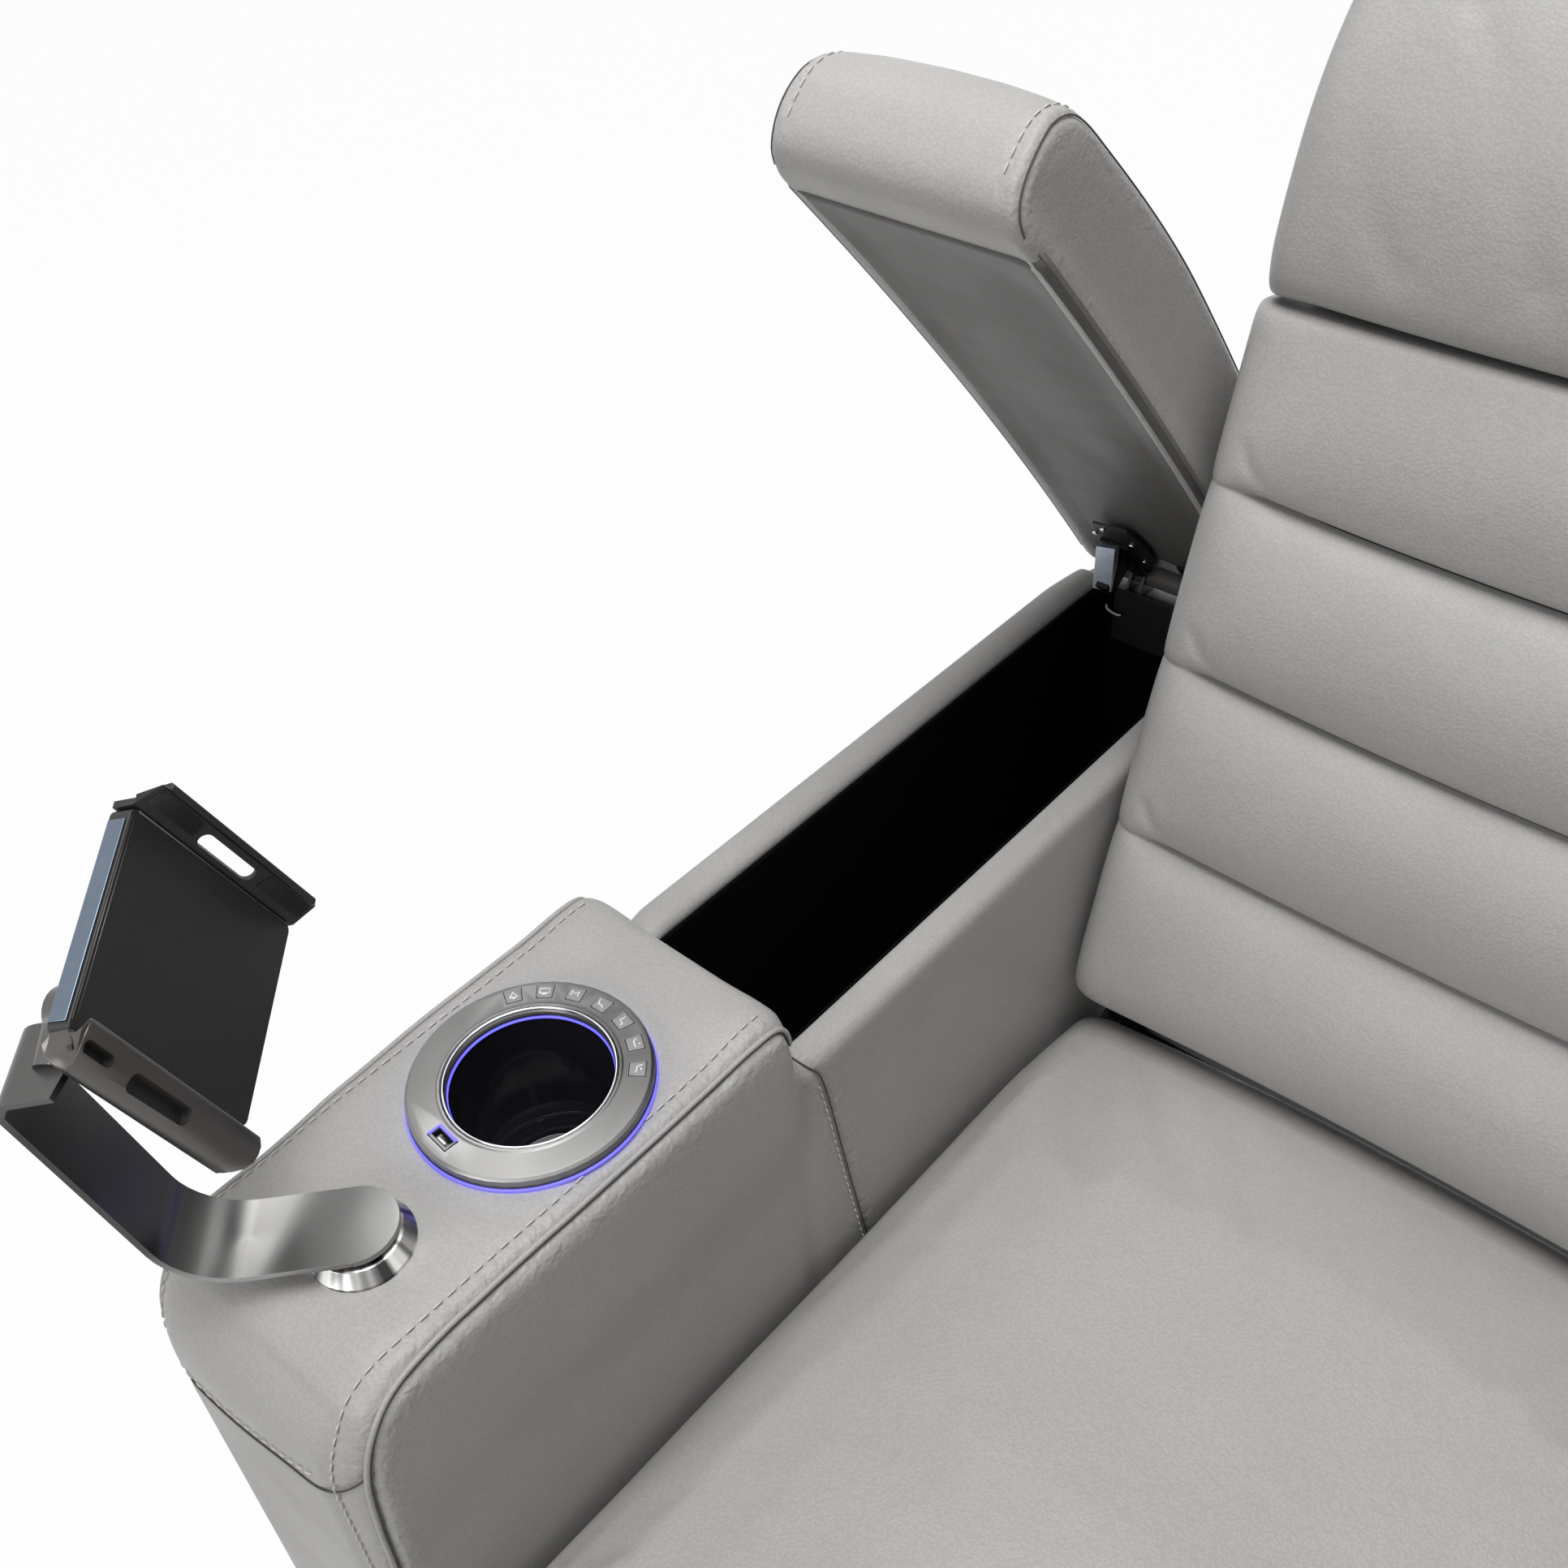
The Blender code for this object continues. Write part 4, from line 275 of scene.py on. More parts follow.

# %% [markdown]
# The other finishes: black needled felt in the wells, turned metal on the rings and the disc with painted fans
# and streaks of highlight, brushed steel on the strap with a painted reflection, chrome, glossy and matt black
# ABS, rubber, the lit diffusers, light grey key caps with white print in a faint painted glow, sewing thread,
# powder-coated steel, raw plywood and woven webbing. Each has its own grain, so that light breaks up on it as on
# the real one.

# %% Other finishes
def plain_finish(name, colour, roughness, metallic=0.0, grain=8.0, bump=0.0, wobble=0.0, stretch=None,
        **extra):
    """An even colour, with a noise of grain millimetres that breaks up its gloss, and a little bump."""
    made, tree = blank_material(name)
    place = place_in(tree)
    if stretch:
        place = shader(tree, "Mapping", inputs={"Scale": stretch}, links={0: place}).outputs[0]
    cloud = noise(tree, place, grain, 4.0, Roughness=0.6).outputs["Fac"]
    base = srgb(colour)
    dim = tuple(v * (1 - wobble) for v in base[:3]) + (1.0,)
    tint = shader(tree, "Mix", {"data_type": "RGBA"}, {6: dim, 7: base}, {0: cloud})
    gloss = ranged(tree, cloud, 0.3, 0.7, max(0.02, roughness * 0.85), min(1.0, roughness * 1.15))
    height = relief(tree, cloud, 0.6 if bump else 0.0, max(bump, 0.01) / MM)
    inputs = {"Metallic": metallic}
    inputs.update(extra)
    links = {"Base Color": tint.outputs[2], "Roughness": gloss, "Normal": height.outputs[0]}
    return surfaced(made, shader(tree, "BsdfPrincipled", inputs=inputs, links=links))


def lit_diffuser(name, colour, strength):
    made, tree = blank_material(name)
    cloud = noise(tree, place_in(tree), 22, 2.0)
    level = ranged(tree, cloud.outputs["Fac"], 0, 1, strength * 0.8, strength * 1.15)
    inputs = {"Base Color": srgb(colour), "Roughness": 0.35, "IOR": 1.49, "Emission Color": srgb(colour)}
    return surfaced(made, shader(tree, "BsdfPrincipled", inputs=inputs, links={"Emission Strength": level}))


felt = plain_finish("needled_black_felt", "0C0B0A", 1.0, grain=1.6, bump=0.5, wobble=0.6,
    **{"Specular IOR Level": 0.04})
chrome = plain_finish("polished_chrome", "C9CBD0", 0.08, 1.0, grain=30.0, wobble=0.05)
gloss_abs = plain_finish("polished_black_abs", "232327", 0.07, grain=30.0, IOR=1.53, **{"Coat Weight": 0.3})
matte_abs = plain_finish("textured_black_abs", "161616", 0.52, grain=0.5, bump=0.03, wobble=0.15, IOR=1.53)
gunmetal = plain_finish("metallic_grey_paint", "5E5B58", 0.34, 0.6, grain=0.4, wobble=0.12)
rubber = plain_finish("moulded_black_rubber", "141414", 0.72, grain=0.8, bump=0.04, wobble=0.2, IOR=1.52)
key_cap = plain_finish("satin_grey_key_cap", "8A8A8A", 0.4, grain=0.5, wobble=0.05, IOR=1.58)
# White print with a faint painted glow of its own, brighter than the light on it would make it.
icon_print_glow = plain_finish("white_pad_print_painted_glow", "F4F4F4", 0.5, grain=0.5, wobble=0.03,
    **{"Emission Strength": 0.25, "Emission Color": (1, 1, 1, 1)})
thread = plain_finish("bonded_grey_thread", "D6D3CE", 0.6, grain=0.35, bump=0.08, wobble=0.2)
crease = plain_finish("shaded_leather_fold", "4E4B48", 0.75, grain=2.0, wobble=0.2)
painted_steel = plain_finish("black_powder_coat", "1A1A1B", 0.45, grain=0.9, bump=0.03, wobble=0.1)
plywood = plain_finish("birch_plywood", "B99A6B", 0.65, grain=9.0, bump=0.05, wobble=0.25,
    stretch=(0.12, 1, 1))
webbing = plain_finish("woven_webbing", "2C2C2E", 0.85, grain=1.2, bump=0.25, wobble=0.35)
lining = plain_finish("spunbond_lining", "2A2A2A", 0.9, grain=0.9, bump=0.1, wobble=0.25)
blued = plain_finish("blued_side_band", "768291", 0.3, 1.0, grain=6.0, wobble=0.12)
# A polished plate whose bluish white tone is a painted reflection.
hinge_plate_reflection_painted = plain_finish("polished_hinge_plate", "DCE6F6", 0.3, 0.45, grain=12.0, wobble=0.1)
hinge_steel = plain_finish("blackened_hinge_steel", "1D1D1F", 0.42, 0.8, grain=5.0, wobble=0.2)
port_nickel = plain_finish("port_contact_nickel", "A9A9AB", 0.3, 1.0, grain=3.0, wobble=0.1)
seam_shade = plain_finish("shaded_back_seam", "2E2B29", 0.85, grain=2.0, wobble=0.2)
glow = lit_diffuser("blue_light_diffuser", "5F5AF5", 1.5)


def metal_of(made, value, stops, roughness, low, high):
    """Metal whose tone follows a ramp over a value from low to high."""
    tree = made.node_tree
    ramp = shader(tree, "ValToRGB", links={0: ranged(tree, value, low, high)})
    while len(ramp.color_ramp.elements) < len(stops):
        ramp.color_ramp.elements.new(0.5)
    for element, (position, tone) in zip(ramp.color_ramp.elements, stops):
        element.position = position
        element.color = (tone, tone * 0.985, tone * 0.965, 1)
    inputs = {"Metallic": 1.0, "Roughness": roughness, "Anisotropic": 0.4}
    return surfaced(made, shader(tree, "BsdfPrincipled", inputs=inputs,
        links={"Base Color": ramp.outputs[0]}))


def painted_fan_metal(name, centre, stops, roughness, ticks=0.0):
    """Turned metal with painted light: its tone runs round the centre in painted fans of highlight and shade, as
    light falls on a record.
    """
    made, tree = blank_material(name)
    shifted = shader(tree, "VectorMath", {"operation": "SUBTRACT"}, {1: tuple(centre)}, {0: place_in(tree)})
    parts = shader(tree, "SeparateXYZ", links={0: shifted.outputs[0]})
    angle = shader(tree, "Math", {"operation": "ARCTAN2"},
        links={0: parts.outputs["Y"], 1: parts.outputs["X"]})
    value = angle.outputs[0]
    if ticks:
        fine = shader(tree, "TexNoise", {"noise_dimensions": "1D"}, {"Scale": ticks, "Detail": 1.0},
            {"W": value})
        value = ranged(tree, fine.outputs["Fac"], 0.36, 0.64, -math.pi, math.pi)
    return metal_of(made, value, stops, roughness, -math.pi, math.pi)


def height_painted_metal(name, low, high, stops, roughness):
    """Brushed metal whose tone changes with its height, as a painted reflection."""
    made, tree = blank_material(name)
    parts = shader(tree, "SeparateXYZ", links={0: place_in(tree)})
    return metal_of(made, parts.outputs["Z"], stops, roughness, low, high)


# Tone round the ring: painted fans of highlight and shade, brightest towards the front and darkest towards the
# back right.
PAINTED_LIGHT_FAN = [(0.0, 0.20), (0.125, 0.21), (0.25, 0.28), (0.375, 0.33), (0.5, 0.21), (0.625, 0.125), (0.75, 0.15),
    (0.875, 0.20)]
ring_fan_painted_metal = {"right": painted_fan_metal("turned_ring_right", ring_middle, PAINTED_LIGHT_FAN, 0.34),
    "left": painted_fan_metal("turned_ring_left", mirrored(ring_middle), PAINTED_LIGHT_FAN, 0.34)}
# The disc's bevel: radial streaks of painted highlight, of the kind its turned face throws.
disc_painted_glints = painted_fan_metal("turned_steel_bevel", at(10, -115, 0),
    [(0.0, 0.05), (0.35, 0.22), (0.6, 0.40), (1.0, 0.75)], 0.22, 2.6)
# The strap: bright on its low flat part, dark where it rises and a little lighter at the top, a painted reflection
# of the room.
strap_reflection_painted = height_painted_metal("brushed_strap_painted_reflection", ring_middle.z, ring_middle.z + 0.18,
    [(0.0, 0.30), (0.10, 0.30), (0.24, 0.075), (0.75, 0.06), (0.90, 0.15)], 0.27)
print("finishes ready:", len(bpy.data.materials))

# %% [markdown]
# Rigid pieces keep their CAD shape. A real edge is never quite sharp, so each gets a copy of its mesh with
# flat facets joined, a small bevel on its edges and smooth shading on its round faces.

# %% Dress a rigid piece
def add_piece(name, mesh, finish):
    piece = bpy.data.objects.new(name, mesh)
    bpy.context.scene.collection.objects.link(piece)
    mesh.materials.clear()
    mesh.materials.append(finish)
    return piece


def piece_of(name, bm, finish):
    """Turns a filled bmesh into a smooth piece."""
    mesh = bpy.data.meshes.new(name)
    bm.to_mesh(mesh)
    bm.free()
    mesh.shade_smooth()
    return add_piece(name, mesh, finish)


def body_of_node(node):
    return next(body for body, members in frame["record"]["behaviour"]["bodies"].items() if node in members)


def slot_of_node(node):
    return next(s["material_slot"] for s in frame["record"]["subparts"] if s["node"] == node)


def dressed(node, finish, bevel_mm=0.4):
    """A finished piece over a rigid CAD node, its edges rounded by bevel_mm."""
    bm = bmesh.new()
    bm.from_mesh(nodes[node].data)
    bmesh.ops.remove_doubles(bm, verts=bm.verts, dist=0.00001)
    bmesh.ops.dissolve_limit(bm, angle_limit=math.radians(1.0), verts=bm.verts, edges=bm.edges)
    piece = piece_of(node + "_piece", bm, finish)
    if bevel_mm:
        rounding = piece.modifiers.new("eased_edges", "BEVEL")
        rounding.width = bevel_mm / 1000
        rounding.segments = 2
        rounding.limit_method = "ANGLE"
        rounding.angle_limit = math.radians(35)
        rounding.harden_normals = False
    piece.data.set_sharp_from_angle(angle=math.radians(45))
    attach(piece, body_of_node(node))
    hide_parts(node)
    slot_of_node(node)
    return piece


# %% [markdown]
# Upholstery: a leather cover over foam. Each cover starts as one even skin of small quads over its CAD
# solid. A cloth simulation then blows it up slightly against the places where it is sewn or held, which
# gives the soft swell and the small wrinkles along the seams. The seams are pressed in afterwards.

# %% Upholstery helpers
def coordinates(mesh, kind="co"):
    """A mesh's points, or its normals, as one row each."""
    values = np.zeros(len(mesh.vertices) * 3)
    mesh.vertices.foreach_get(kind, values)
    return values.reshape(-1, 3)


def set_coordinates(mesh, values):
    mesh.vertices.foreach_set("co", values.reshape(-1))
    mesh.update()


def baked(piece):
    """Applies a piece's modifiers."""
    graph = bpy.context.evaluated_depsgraph_get()
    mesh = bpy.data.meshes.new_from_object(piece.evaluated_get(graph))
    piece.modifiers.clear()
    old = piece.data
    piece.data = mesh
    bpy.data.meshes.remove(old)
    mesh.name = piece.name
    return mesh


def skin_over(name, members, voxel_mm):
    """One closed skin of even quads over CAD nodes."""
    bm = bmesh.new()
    for node in members:
        bm.from_mesh(nodes[node].data)
    piece = piece_of(name, bm, leather)
    remesh = piece.modifiers.new("even_quads", "REMESH")
    remesh.mode = "VOXEL"
    remesh.voxel_size = voxel_mm / 1000
    soft = piece.modifiers.new("soft", "SMOOTH")
    soft.factor = 0.5
    soft.iterations = 4
    baked(piece).shade_smooth()
    return piece


CLOTH = {"quality": 4, "mass": 0.4, "tension_stiffness": 18, "compression_stiffness": 18,
    "shear_stiffness": 8, "air_damping": 4, "use_pressure": True}
CLOTH_FRAMES = 20


def swell(piece, held, pressure, cap_mm, bending):
    """Cloth simulation with air inside; held(points) gives how firmly each point stays, 0 to 1."""
    mesh = piece.data
    rest = coordinates(mesh)
    weights = np.round(held(rest), 2)
    group = piece.vertex_groups.new(name="held")
    for level in np.unique(weights):
        if level > 0:
            group.add([int(i) for i in np.nonzero(weights == level)[0]], float(level), "REPLACE")
    cloth = piece.modifiers.new("cloth", "CLOTH")
    settings = cloth.settings
    for key, value in CLOTH.items():
        setattr(settings, key, value)
    settings.bending_stiffness = bending
    settings.uniform_pressure_force = pressure
    settings.vertex_group_mass = "held"
    settings.effector_weights.gravity = 0
    cloth.collision_settings.use_collision = False
    cloth.collision_settings.use_self_collision = False
    cloth.point_cache.frame_start = 1
    cloth.point_cache.frame_end = CLOTH_FRAMES
    scene = bpy.context.scene
    for number in range(1, CLOTH_FRAMES + 1):
        scene.frame_set(number)
    blown = piece.evaluated_get(bpy.context.evaluated_depsgraph_get())
    moved = coordinates(blown.to_mesh()) - rest
    blown.to_mesh_clear()
    piece.modifiers.clear()
    piece.vertex_groups.clear()
    scene.frame_set(1)
    length = np.linalg.norm(moved, axis=1, keepdims=True)
    moved *= np.minimum(1.0, cap_mm / 1000 / np.maximum(length, 1e-9))
    set_coordinates(mesh, rest + moved)
    print(piece.name, "swelled by up to", round(float(length.max()) * 1000, 1), "mm over", len(rest),
        "points")


def finer(piece):
    """Subdivides a skin smoothly."""
    rounded = piece.modifiers.new("finer", "SUBSURF")
    rounded.levels = 1
    rounded.render_levels = 1
    baked(piece).shade_smooth()


def along(points, step_mm=2.0):
    """Even samples along a smooth curve through points."""
    points = [Vector(p) for p in points]
    dense = []
    for i in range(len(points) - 1):
        before = points[max(i - 1, 0)]
        start, end = points[i], points[i + 1]
        after = points[min(i + 2, len(points) - 1)]
        count = max(2, int((end - start).length * 1000 / 2))
        for k in range(count):
            t = k / count
            dense.append(0.5 * ((2 * start) + (end - before) * t
                + (2 * before - 5 * start + 4 * end - after) * t * t
                + (3 * start - before - 3 * end + after) * t ** 3))
    dense.append(points[-1])
    samples, left = [dense[0]], step_mm / 1000
    for first, second in zip(dense, dense[1:]):
        run = second - first
        length = run.length
        gone = 0.0
        while length - gone >= left and length > 0:
            gone += left
            samples.append(first + run * (gone / length))
            left = step_mm / 1000
        left -= length - gone
    return samples


def near_path(points, path, reach):
    """The number of each point in the box around a path, with its distance from the path."""
    tree = KDTree(len(path))
    for i, place in enumerate(path):
        tree.insert(place, i)
    tree.balance()
    low = np.min([tuple(p) for p in path], axis=0) - reach
    high = np.max([tuple(p) for p in path], axis=0) + reach
    for i in np.nonzero(np.all((points > low) & (points < high), axis=1))[0]:
        yield i, tree.find(points[i])[2]


def press_in(mesh, path, width_mm, depth_mm):
    """Presses a rounded groove into a skin along a path."""
    values, out = coordinates(mesh), coordinates(mesh, "normal")
    width = width_mm / 1000
    for i, distance in near_path(values, path, width * 2.2):
        if distance < width * 2.2:
            values[i] -= out[i] * depth_mm / 1000 * math.exp(-(distance / width) ** 2)
    set_coordinates(mesh, values)


def places(spots):
    """The places of a seam's (place, normal) pairs."""
    return [place for place, _ in spots]


def surface_of(piece):
    bm = bmesh.new()
    bm.from_mesh(piece.data)
    tree = BVHTree.FromBMesh(bm)
    bm.free()
    return tree


def laid_on(surface, path):
    """Points of a path dropped on the nearest surface, with the outward normals there."""
    return [surface.find_nearest(point)[:2] for point in path]


def join_rings(bm, rings):
    """Joins closed rings of points one to the next, and closes both ends."""
    count = len(rings[0])
    for first, second in zip(rings, rings[1:]):
        for k in range(count):
            m = (k + 1) % count
            bm.faces.new((first[k], first[m], second[m], second[k]))
    bm.faces.new(rings[0][::-1])
    bm.faces.new(rings[-1])


def round_ring(bm, middle, first, second, radius, sides):
    """A round ring of points about a middle, in the plane of two directions."""
    return [bm.verts.new(middle + (first * math.cos(a) + second * math.sin(a)) * radius)
        for a in (2 * math.pi * k / sides for k in range(sides))]


def tube(name, path, radius_mm, finish, sides=8):
    """A closed round cord along a path."""
    bm = bmesh.new()
    rings = []
    side = None
    for i, point in enumerate(path):
        run = (path[min(i + 1, len(path) - 1)] - path[max(i - 1, 0)]).normalized()
        side = (side - run * side.dot(run)).normalized() if side else run.orthogonal().normalized()
        rings.append(round_ring(bm, point, side, run.cross(side), radius_mm / 1000, sides))
    join_rings(bm, rings)
    return piece_of(name, bm, finish)


STITCH_PITCH, STITCH_LENGTH, STITCH_R, STITCH_LIFT = 7.6, 5.4, 0.55, 0.15
# Along a stitch: where, how far its middle stands out and how thick it is, as shares of length and radius.
STITCH_SHAPE = [(0.5, -0.9, 0.5), (0.40, -0.1, 0.95), (0, 0.25, 1.0), (-0.40, -0.1, 0.95),
    (-0.5, -0.9, 0.5)]


def stitches(name, runs):
    """Thread stitches along runs of (place, normal), sunk into the leather at both ends."""
    bm = bmesh.new()
    for spots in runs:
        done = 0.0
        for i in range(1, len(spots) - 1):
            done += (spots[i][0] - spots[i - 1][0]).length * 1000
            if done < STITCH_PITCH:
                continue
            done = 0.0
            place, up = spots[i]
            run = (spots[i + 1][0] - spots[i - 1][0]).normalized()
            up = (up - run * up.dot(run)).normalized()
            rings = []
            for share, height, size in STITCH_SHAPE:
                middle = place + run * (share * STITCH_LENGTH / 1000) + up * (
                    (height * STITCH_R + STITCH_LIFT) / 1000)
                rings.append(round_ring(bm, middle, run.cross(up), up, STITCH_R * size / 1000, 6))
            join_rings(bm, rings)
    return piece_of(name, bm, thread)


def copy_mirrored(piece, name):
    """The same piece on the other arm."""
    mesh = piece.data.copy()
    mesh.transform(FLIP)
    mesh.flip_normals()
    twin = bpy.data.objects.new(name, mesh)
    bpy.context.scene.collection.objects.link(twin)
    return twin


def finish_piece(piece, body, replaced=(), slot="leather"):
    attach(piece, body)
    if replaced:
        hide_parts(*replaced)
    return piece


print("helpers ready")

# %% [markdown]
# The arm is one leather cover from the console's rolled front to the end of the storage well. A stuffed
# cover is never as square as its wooden box: its outer side swells below the rim, its front corners are
# round, and the corners beside the well stand up a little. One function says how far each place moves, so
# that the cover and the seams on it move together.

# %% Shape of the stuffed arm
ARM_OUT, ARM_IN = -86.0, 76.0   # the arm's two sides, from the ring's middle
CONSOLE_TOP = -3.0
ROLL_Y, ROLL_Z, ROLL_R = -141.0, -65.0, 62.0


def ease(value):
    """From nought to one with a soft start and end."""
    value = np.clip(value, 0, 1)
    return value * value * (3 - 2 * value)


def eased(value):
    """The same for one number."""
    return float(ease(value))


def bell(value, middle, width):
    """One at the middle, fading to nought on both sides."""
    return np.exp(-((value - middle) / width) ** 2)


def to_ring(points):
    return (np.array([tuple(p) for p in points]) - np.array(ring_middle)) * 1000


def from_ring(values):
    return values / 1000 + np.array(ring_middle)


def round_corner(side, depth, radius):
    """How far a point near a square corner moves in from both faces to lie on an arc."""
    a, b = radius - side, radius - depth
    far = np.hypot(a, b)
    over = (a > 0) & (b > 0) & (far > radius) & (side > -8) & (depth > -8)
    scale = np.where(over, radius / np.maximum(far, 1e-6), 1.0)
    return np.where(over, a * (1 - scale), 0), np.where(over, b * (1 - scale), 0)


def face_y(z):
    """Where the console's front face lies: it runs forward towards the foot."""
    return -203 - 20 * (ROLL_Z - z) / 545


def arm_shape(points):
    """World places on the plain arm, moved to where the stuffed cover lies."""
    p = to_ring(points)
    px, py, pz = p.T
    x, y, z = p.T.copy()
    front, above = ROLL_Y - y, z - ROLL_Z
    on_roll = (front > 0) & (above > 0)
    radial = np.hypot(front, above)
    depth = np.where(front <= 0, CONSOLE_TOP - z, np.where(on_roll, ROLL_R - radial, y - face_y(z)))
    turn = np.where(front <= 0, 0, np.where(on_roll, np.arctan2(front, np.maximum(above, 1e-6))
        / (math.pi / 2), 1))
    console = y < 122
    for side, radius, way in ((ARM_IN - x, 4 + 17 * ease(turn * 1.3), -1),
            (x - ARM_OUT, 8 + 17 * ease((-y - 30) / 95), 1)):
        ds, dd = round_corner(side, depth, radius)
        ds, dd = np.where(console, ds, 0), np.where(console, dd, 0)
        x += way * ds
        unit = np.maximum(radial, 1e-6)
        y += np.where(on_roll, dd * front / unit, np.where(front > 0, dd, 0))
        z -= np.where(on_roll, dd * above / unit, np.where(front > 0, 0, dd))
    pull = (5 + 9 * ease((px + 84) / 160)) * ease(front / 60) * (front > 0)
    y += pull
    outer = ease((-px - 68) / 12)
    x -= outer * 6.0 * ease((-pz - 60) / 90) * (1 - ease((-pz - 420) / 150))
    swell_z = np.where(console, -38, -90)
    x -= outer * 6.5 * bell(pz, swell_z, 48) * ease((py + 75) / 80)
    inner = ease((px - 60) / 12) * console * (py < 116)
    x += inner * 5.5 * (1 - np.exp(-np.maximum(depth, 0) / 13)) * (1 - ease((-pz - 80) / 70))
    rim = bell(pz, -60, 9) * (py > 126) * (py < 662)
    x += rim * 3.2 * bell(px, -65, 5)
    x -= rim * 4.0 * bell(px, 55, 5)
    over = bell(pz, -57, 14) * ease((py - 128) / 30) * ease((-px - 58) / 14)
    z += 5.5 * over * (1 - ease((py - 600) / 60))
    x -= 3.0 * over
    in_well = (pz < -63) & (px > -68) & (px < 58) & (py > 119) & (py < 661)
    x += 3.5 * in_well * ((px > 51) * 1.0 - (px < -61))
    y += 3.5 * in_well * ((py > 653) * 1.0 - (py < 128))
    middle = abs(px + 5)
    on_top = np.exp(-np.maximum(depth, 0) / 12) * console * (front <= 40)
    clear = ease((np.hypot(px, py) - 70) / 25)
    z += on_top * clear * (3.0 * (1 - (middle / 84) ** 2) * (py < 60) + 4.5 * bell(py, 98, 26)
        * ease((middle - 25) / 35) - 1.5 * bell(py, 112, 16) * (1 - ease((middle - 25) / 35)))
    return from_ring(np.stack([x, y, z], axis=1))


def shaped(path, shape=arm_shape):
    return [Vector(p) for p in shape(path)]


def roll_line(x, inset=0.0, start=112.0, foot=-600.0):
    """A line along the top of the plain arm, over the rolled front and down to the foot."""
    points = [at(x, y, CONSOLE_TOP - inset) for y in np.linspace(start, ROLL_Y, 26)]
    for degrees in np.linspace(90, 180, 14)[1:]:
        a = math.radians(degrees)
        points.append(at(x, ROLL_Y + (ROLL_R - inset) * math.cos(a), ROLL_Z + (ROLL_R - inset)
            * math.sin(a)))
    for z in np.linspace(-80, foot, 40):
        points.append(at(x, face_y(z) + inset, z))
    return points


# %% Arm cover
arm_skin = skin_over("right_arm_leather", ["right_arm_console", "right_arm_storage_box"], 6.0)
set_coordinates(arm_skin.data, arm_shape(coordinates(arm_skin.data)))
finer(arm_skin)
arm_surface = surface_of(arm_skin)


def smoothed(points, rounds=3):
    points = [Vector(p) for p in points]
    for _ in range(rounds):
        points = [points[0]] + [(points[i - 1] + 2 * points[i] + points[i + 1]) / 4
            for i in range(1, len(points) - 1)] + [points[-1]]
    return points


def seam_on(surface, path, step_mm=1.5):
    """A smooth path on a surface, as (place, normal) pairs."""
    line = smoothed(places(laid_on(surface, along(path, step_mm))), 20)
    return [(place, normal) for place, (_, normal) in zip(line, laid_on(surface, line))]


edge_in = [at(77, y, z) for y, z in ((118, -24), (116, -12), (106, -4), (60, -3), (20, -3), (-22, -3),
    (-60, -2.5), (-97, -3), (-133, -6), (-151, -11), (-163, -22), (-171, -38), (-176, -56), (-180, -85),
    (-184, -124), (-189, -250), (-193, -400), (-197, -600))]
edge_out = [at(-86, 118, -24), at(-86, 116, -12)] + roll_line(-86, 1.0, 106)
row_in, row_out = roll_line(62.5, foot=-590), roll_line(-73.5, foot=-590)
well_seam = [at(60, 124, -57), at(68, 128, -58), at(74, 132, -62), at(76, 137, -70), at(76, 143, -100),
    at(76, 152, -160), at(76, 163, -230), at(76, 176, -310), at(76, 190, -400)]
front_seam = [at(-86, -196, -74), at(-72, -197, -83), at(-60, -196, -88), at(-20, -192, -89),
    at(20, -187, -79), at(55, -180, -67), at(76, -174, -48)]
front_row = [at(p[0], p[1] + 1, p[2] + 9) for p in ((-76, -197, -80), (-60, -196, -88), (-20, -192, -89),
    (20, -187, -79), (52, -180, -68))]
arm_seams = {name: seam_on(arm_surface, path) for name, path in (("in", edge_in), ("out", shaped(edge_out)),
    ("well", shaped(well_seam)), ("front", front_seam))}
arm_rows = [seam_on(arm_surface, path, 1.0) for path in (shaped(row_in), shaped(row_out), front_row)]
for name, spots in arm_seams.items():
    press_in(arm_skin.data, places(spots), 3.2, 1.8)
for spots in arm_rows:
    press_in(arm_skin.data, places(spots), 4.0, 0.8)


def pucker_near(piece, paths, reach_mm=11.0, strength=1.0):
    """Writes how strongly the leather gathers: full beside a seam, none a few centimetres away."""
    points = coordinates(piece.data)
    values = np.zeros(len(points))
    for i, distance in near_path(points, [p for path in paths for p in path], 0.04):
        values[i] = strength * math.exp(-((distance * 1000 - 3) / reach_mm) ** 2)
    piece.data.attributes.new("pucker", "FLOAT", "POINT").data.foreach_set("value", values)


pucker_near(arm_skin, [places(arm_seams[k]) for k in ("in", "out", "well")])


# Dark cords laid in the seams' grooves: painted shade of the creases there.
def crease_shade_line(name, spots, radius_mm=0.55, sink_mm=0.25):
    return tube(name, [p - n * (sink_mm / 1000) for p, n in spots], radius_mm, crease)


def welt(name, spots, offset, radius_mm=1.5, rise_mm=0.3):
    """A covered cord along a seam, on the side that offset points to."""
    path = []
    for i, (place, normal) in enumerate(spots):
        run = spots[min(i + 1, len(spots) - 1)][0] - spots[max(i - 1, 0)][0]
        away = normal.cross(run).normalized()
        if away.dot(offset) < 0:
            away = -away
        path.append(place + away * 0.0017 + normal * (rise_mm / 1000))
    return tube(name, smoothed(path, 4), radius_mm, leather, 10)


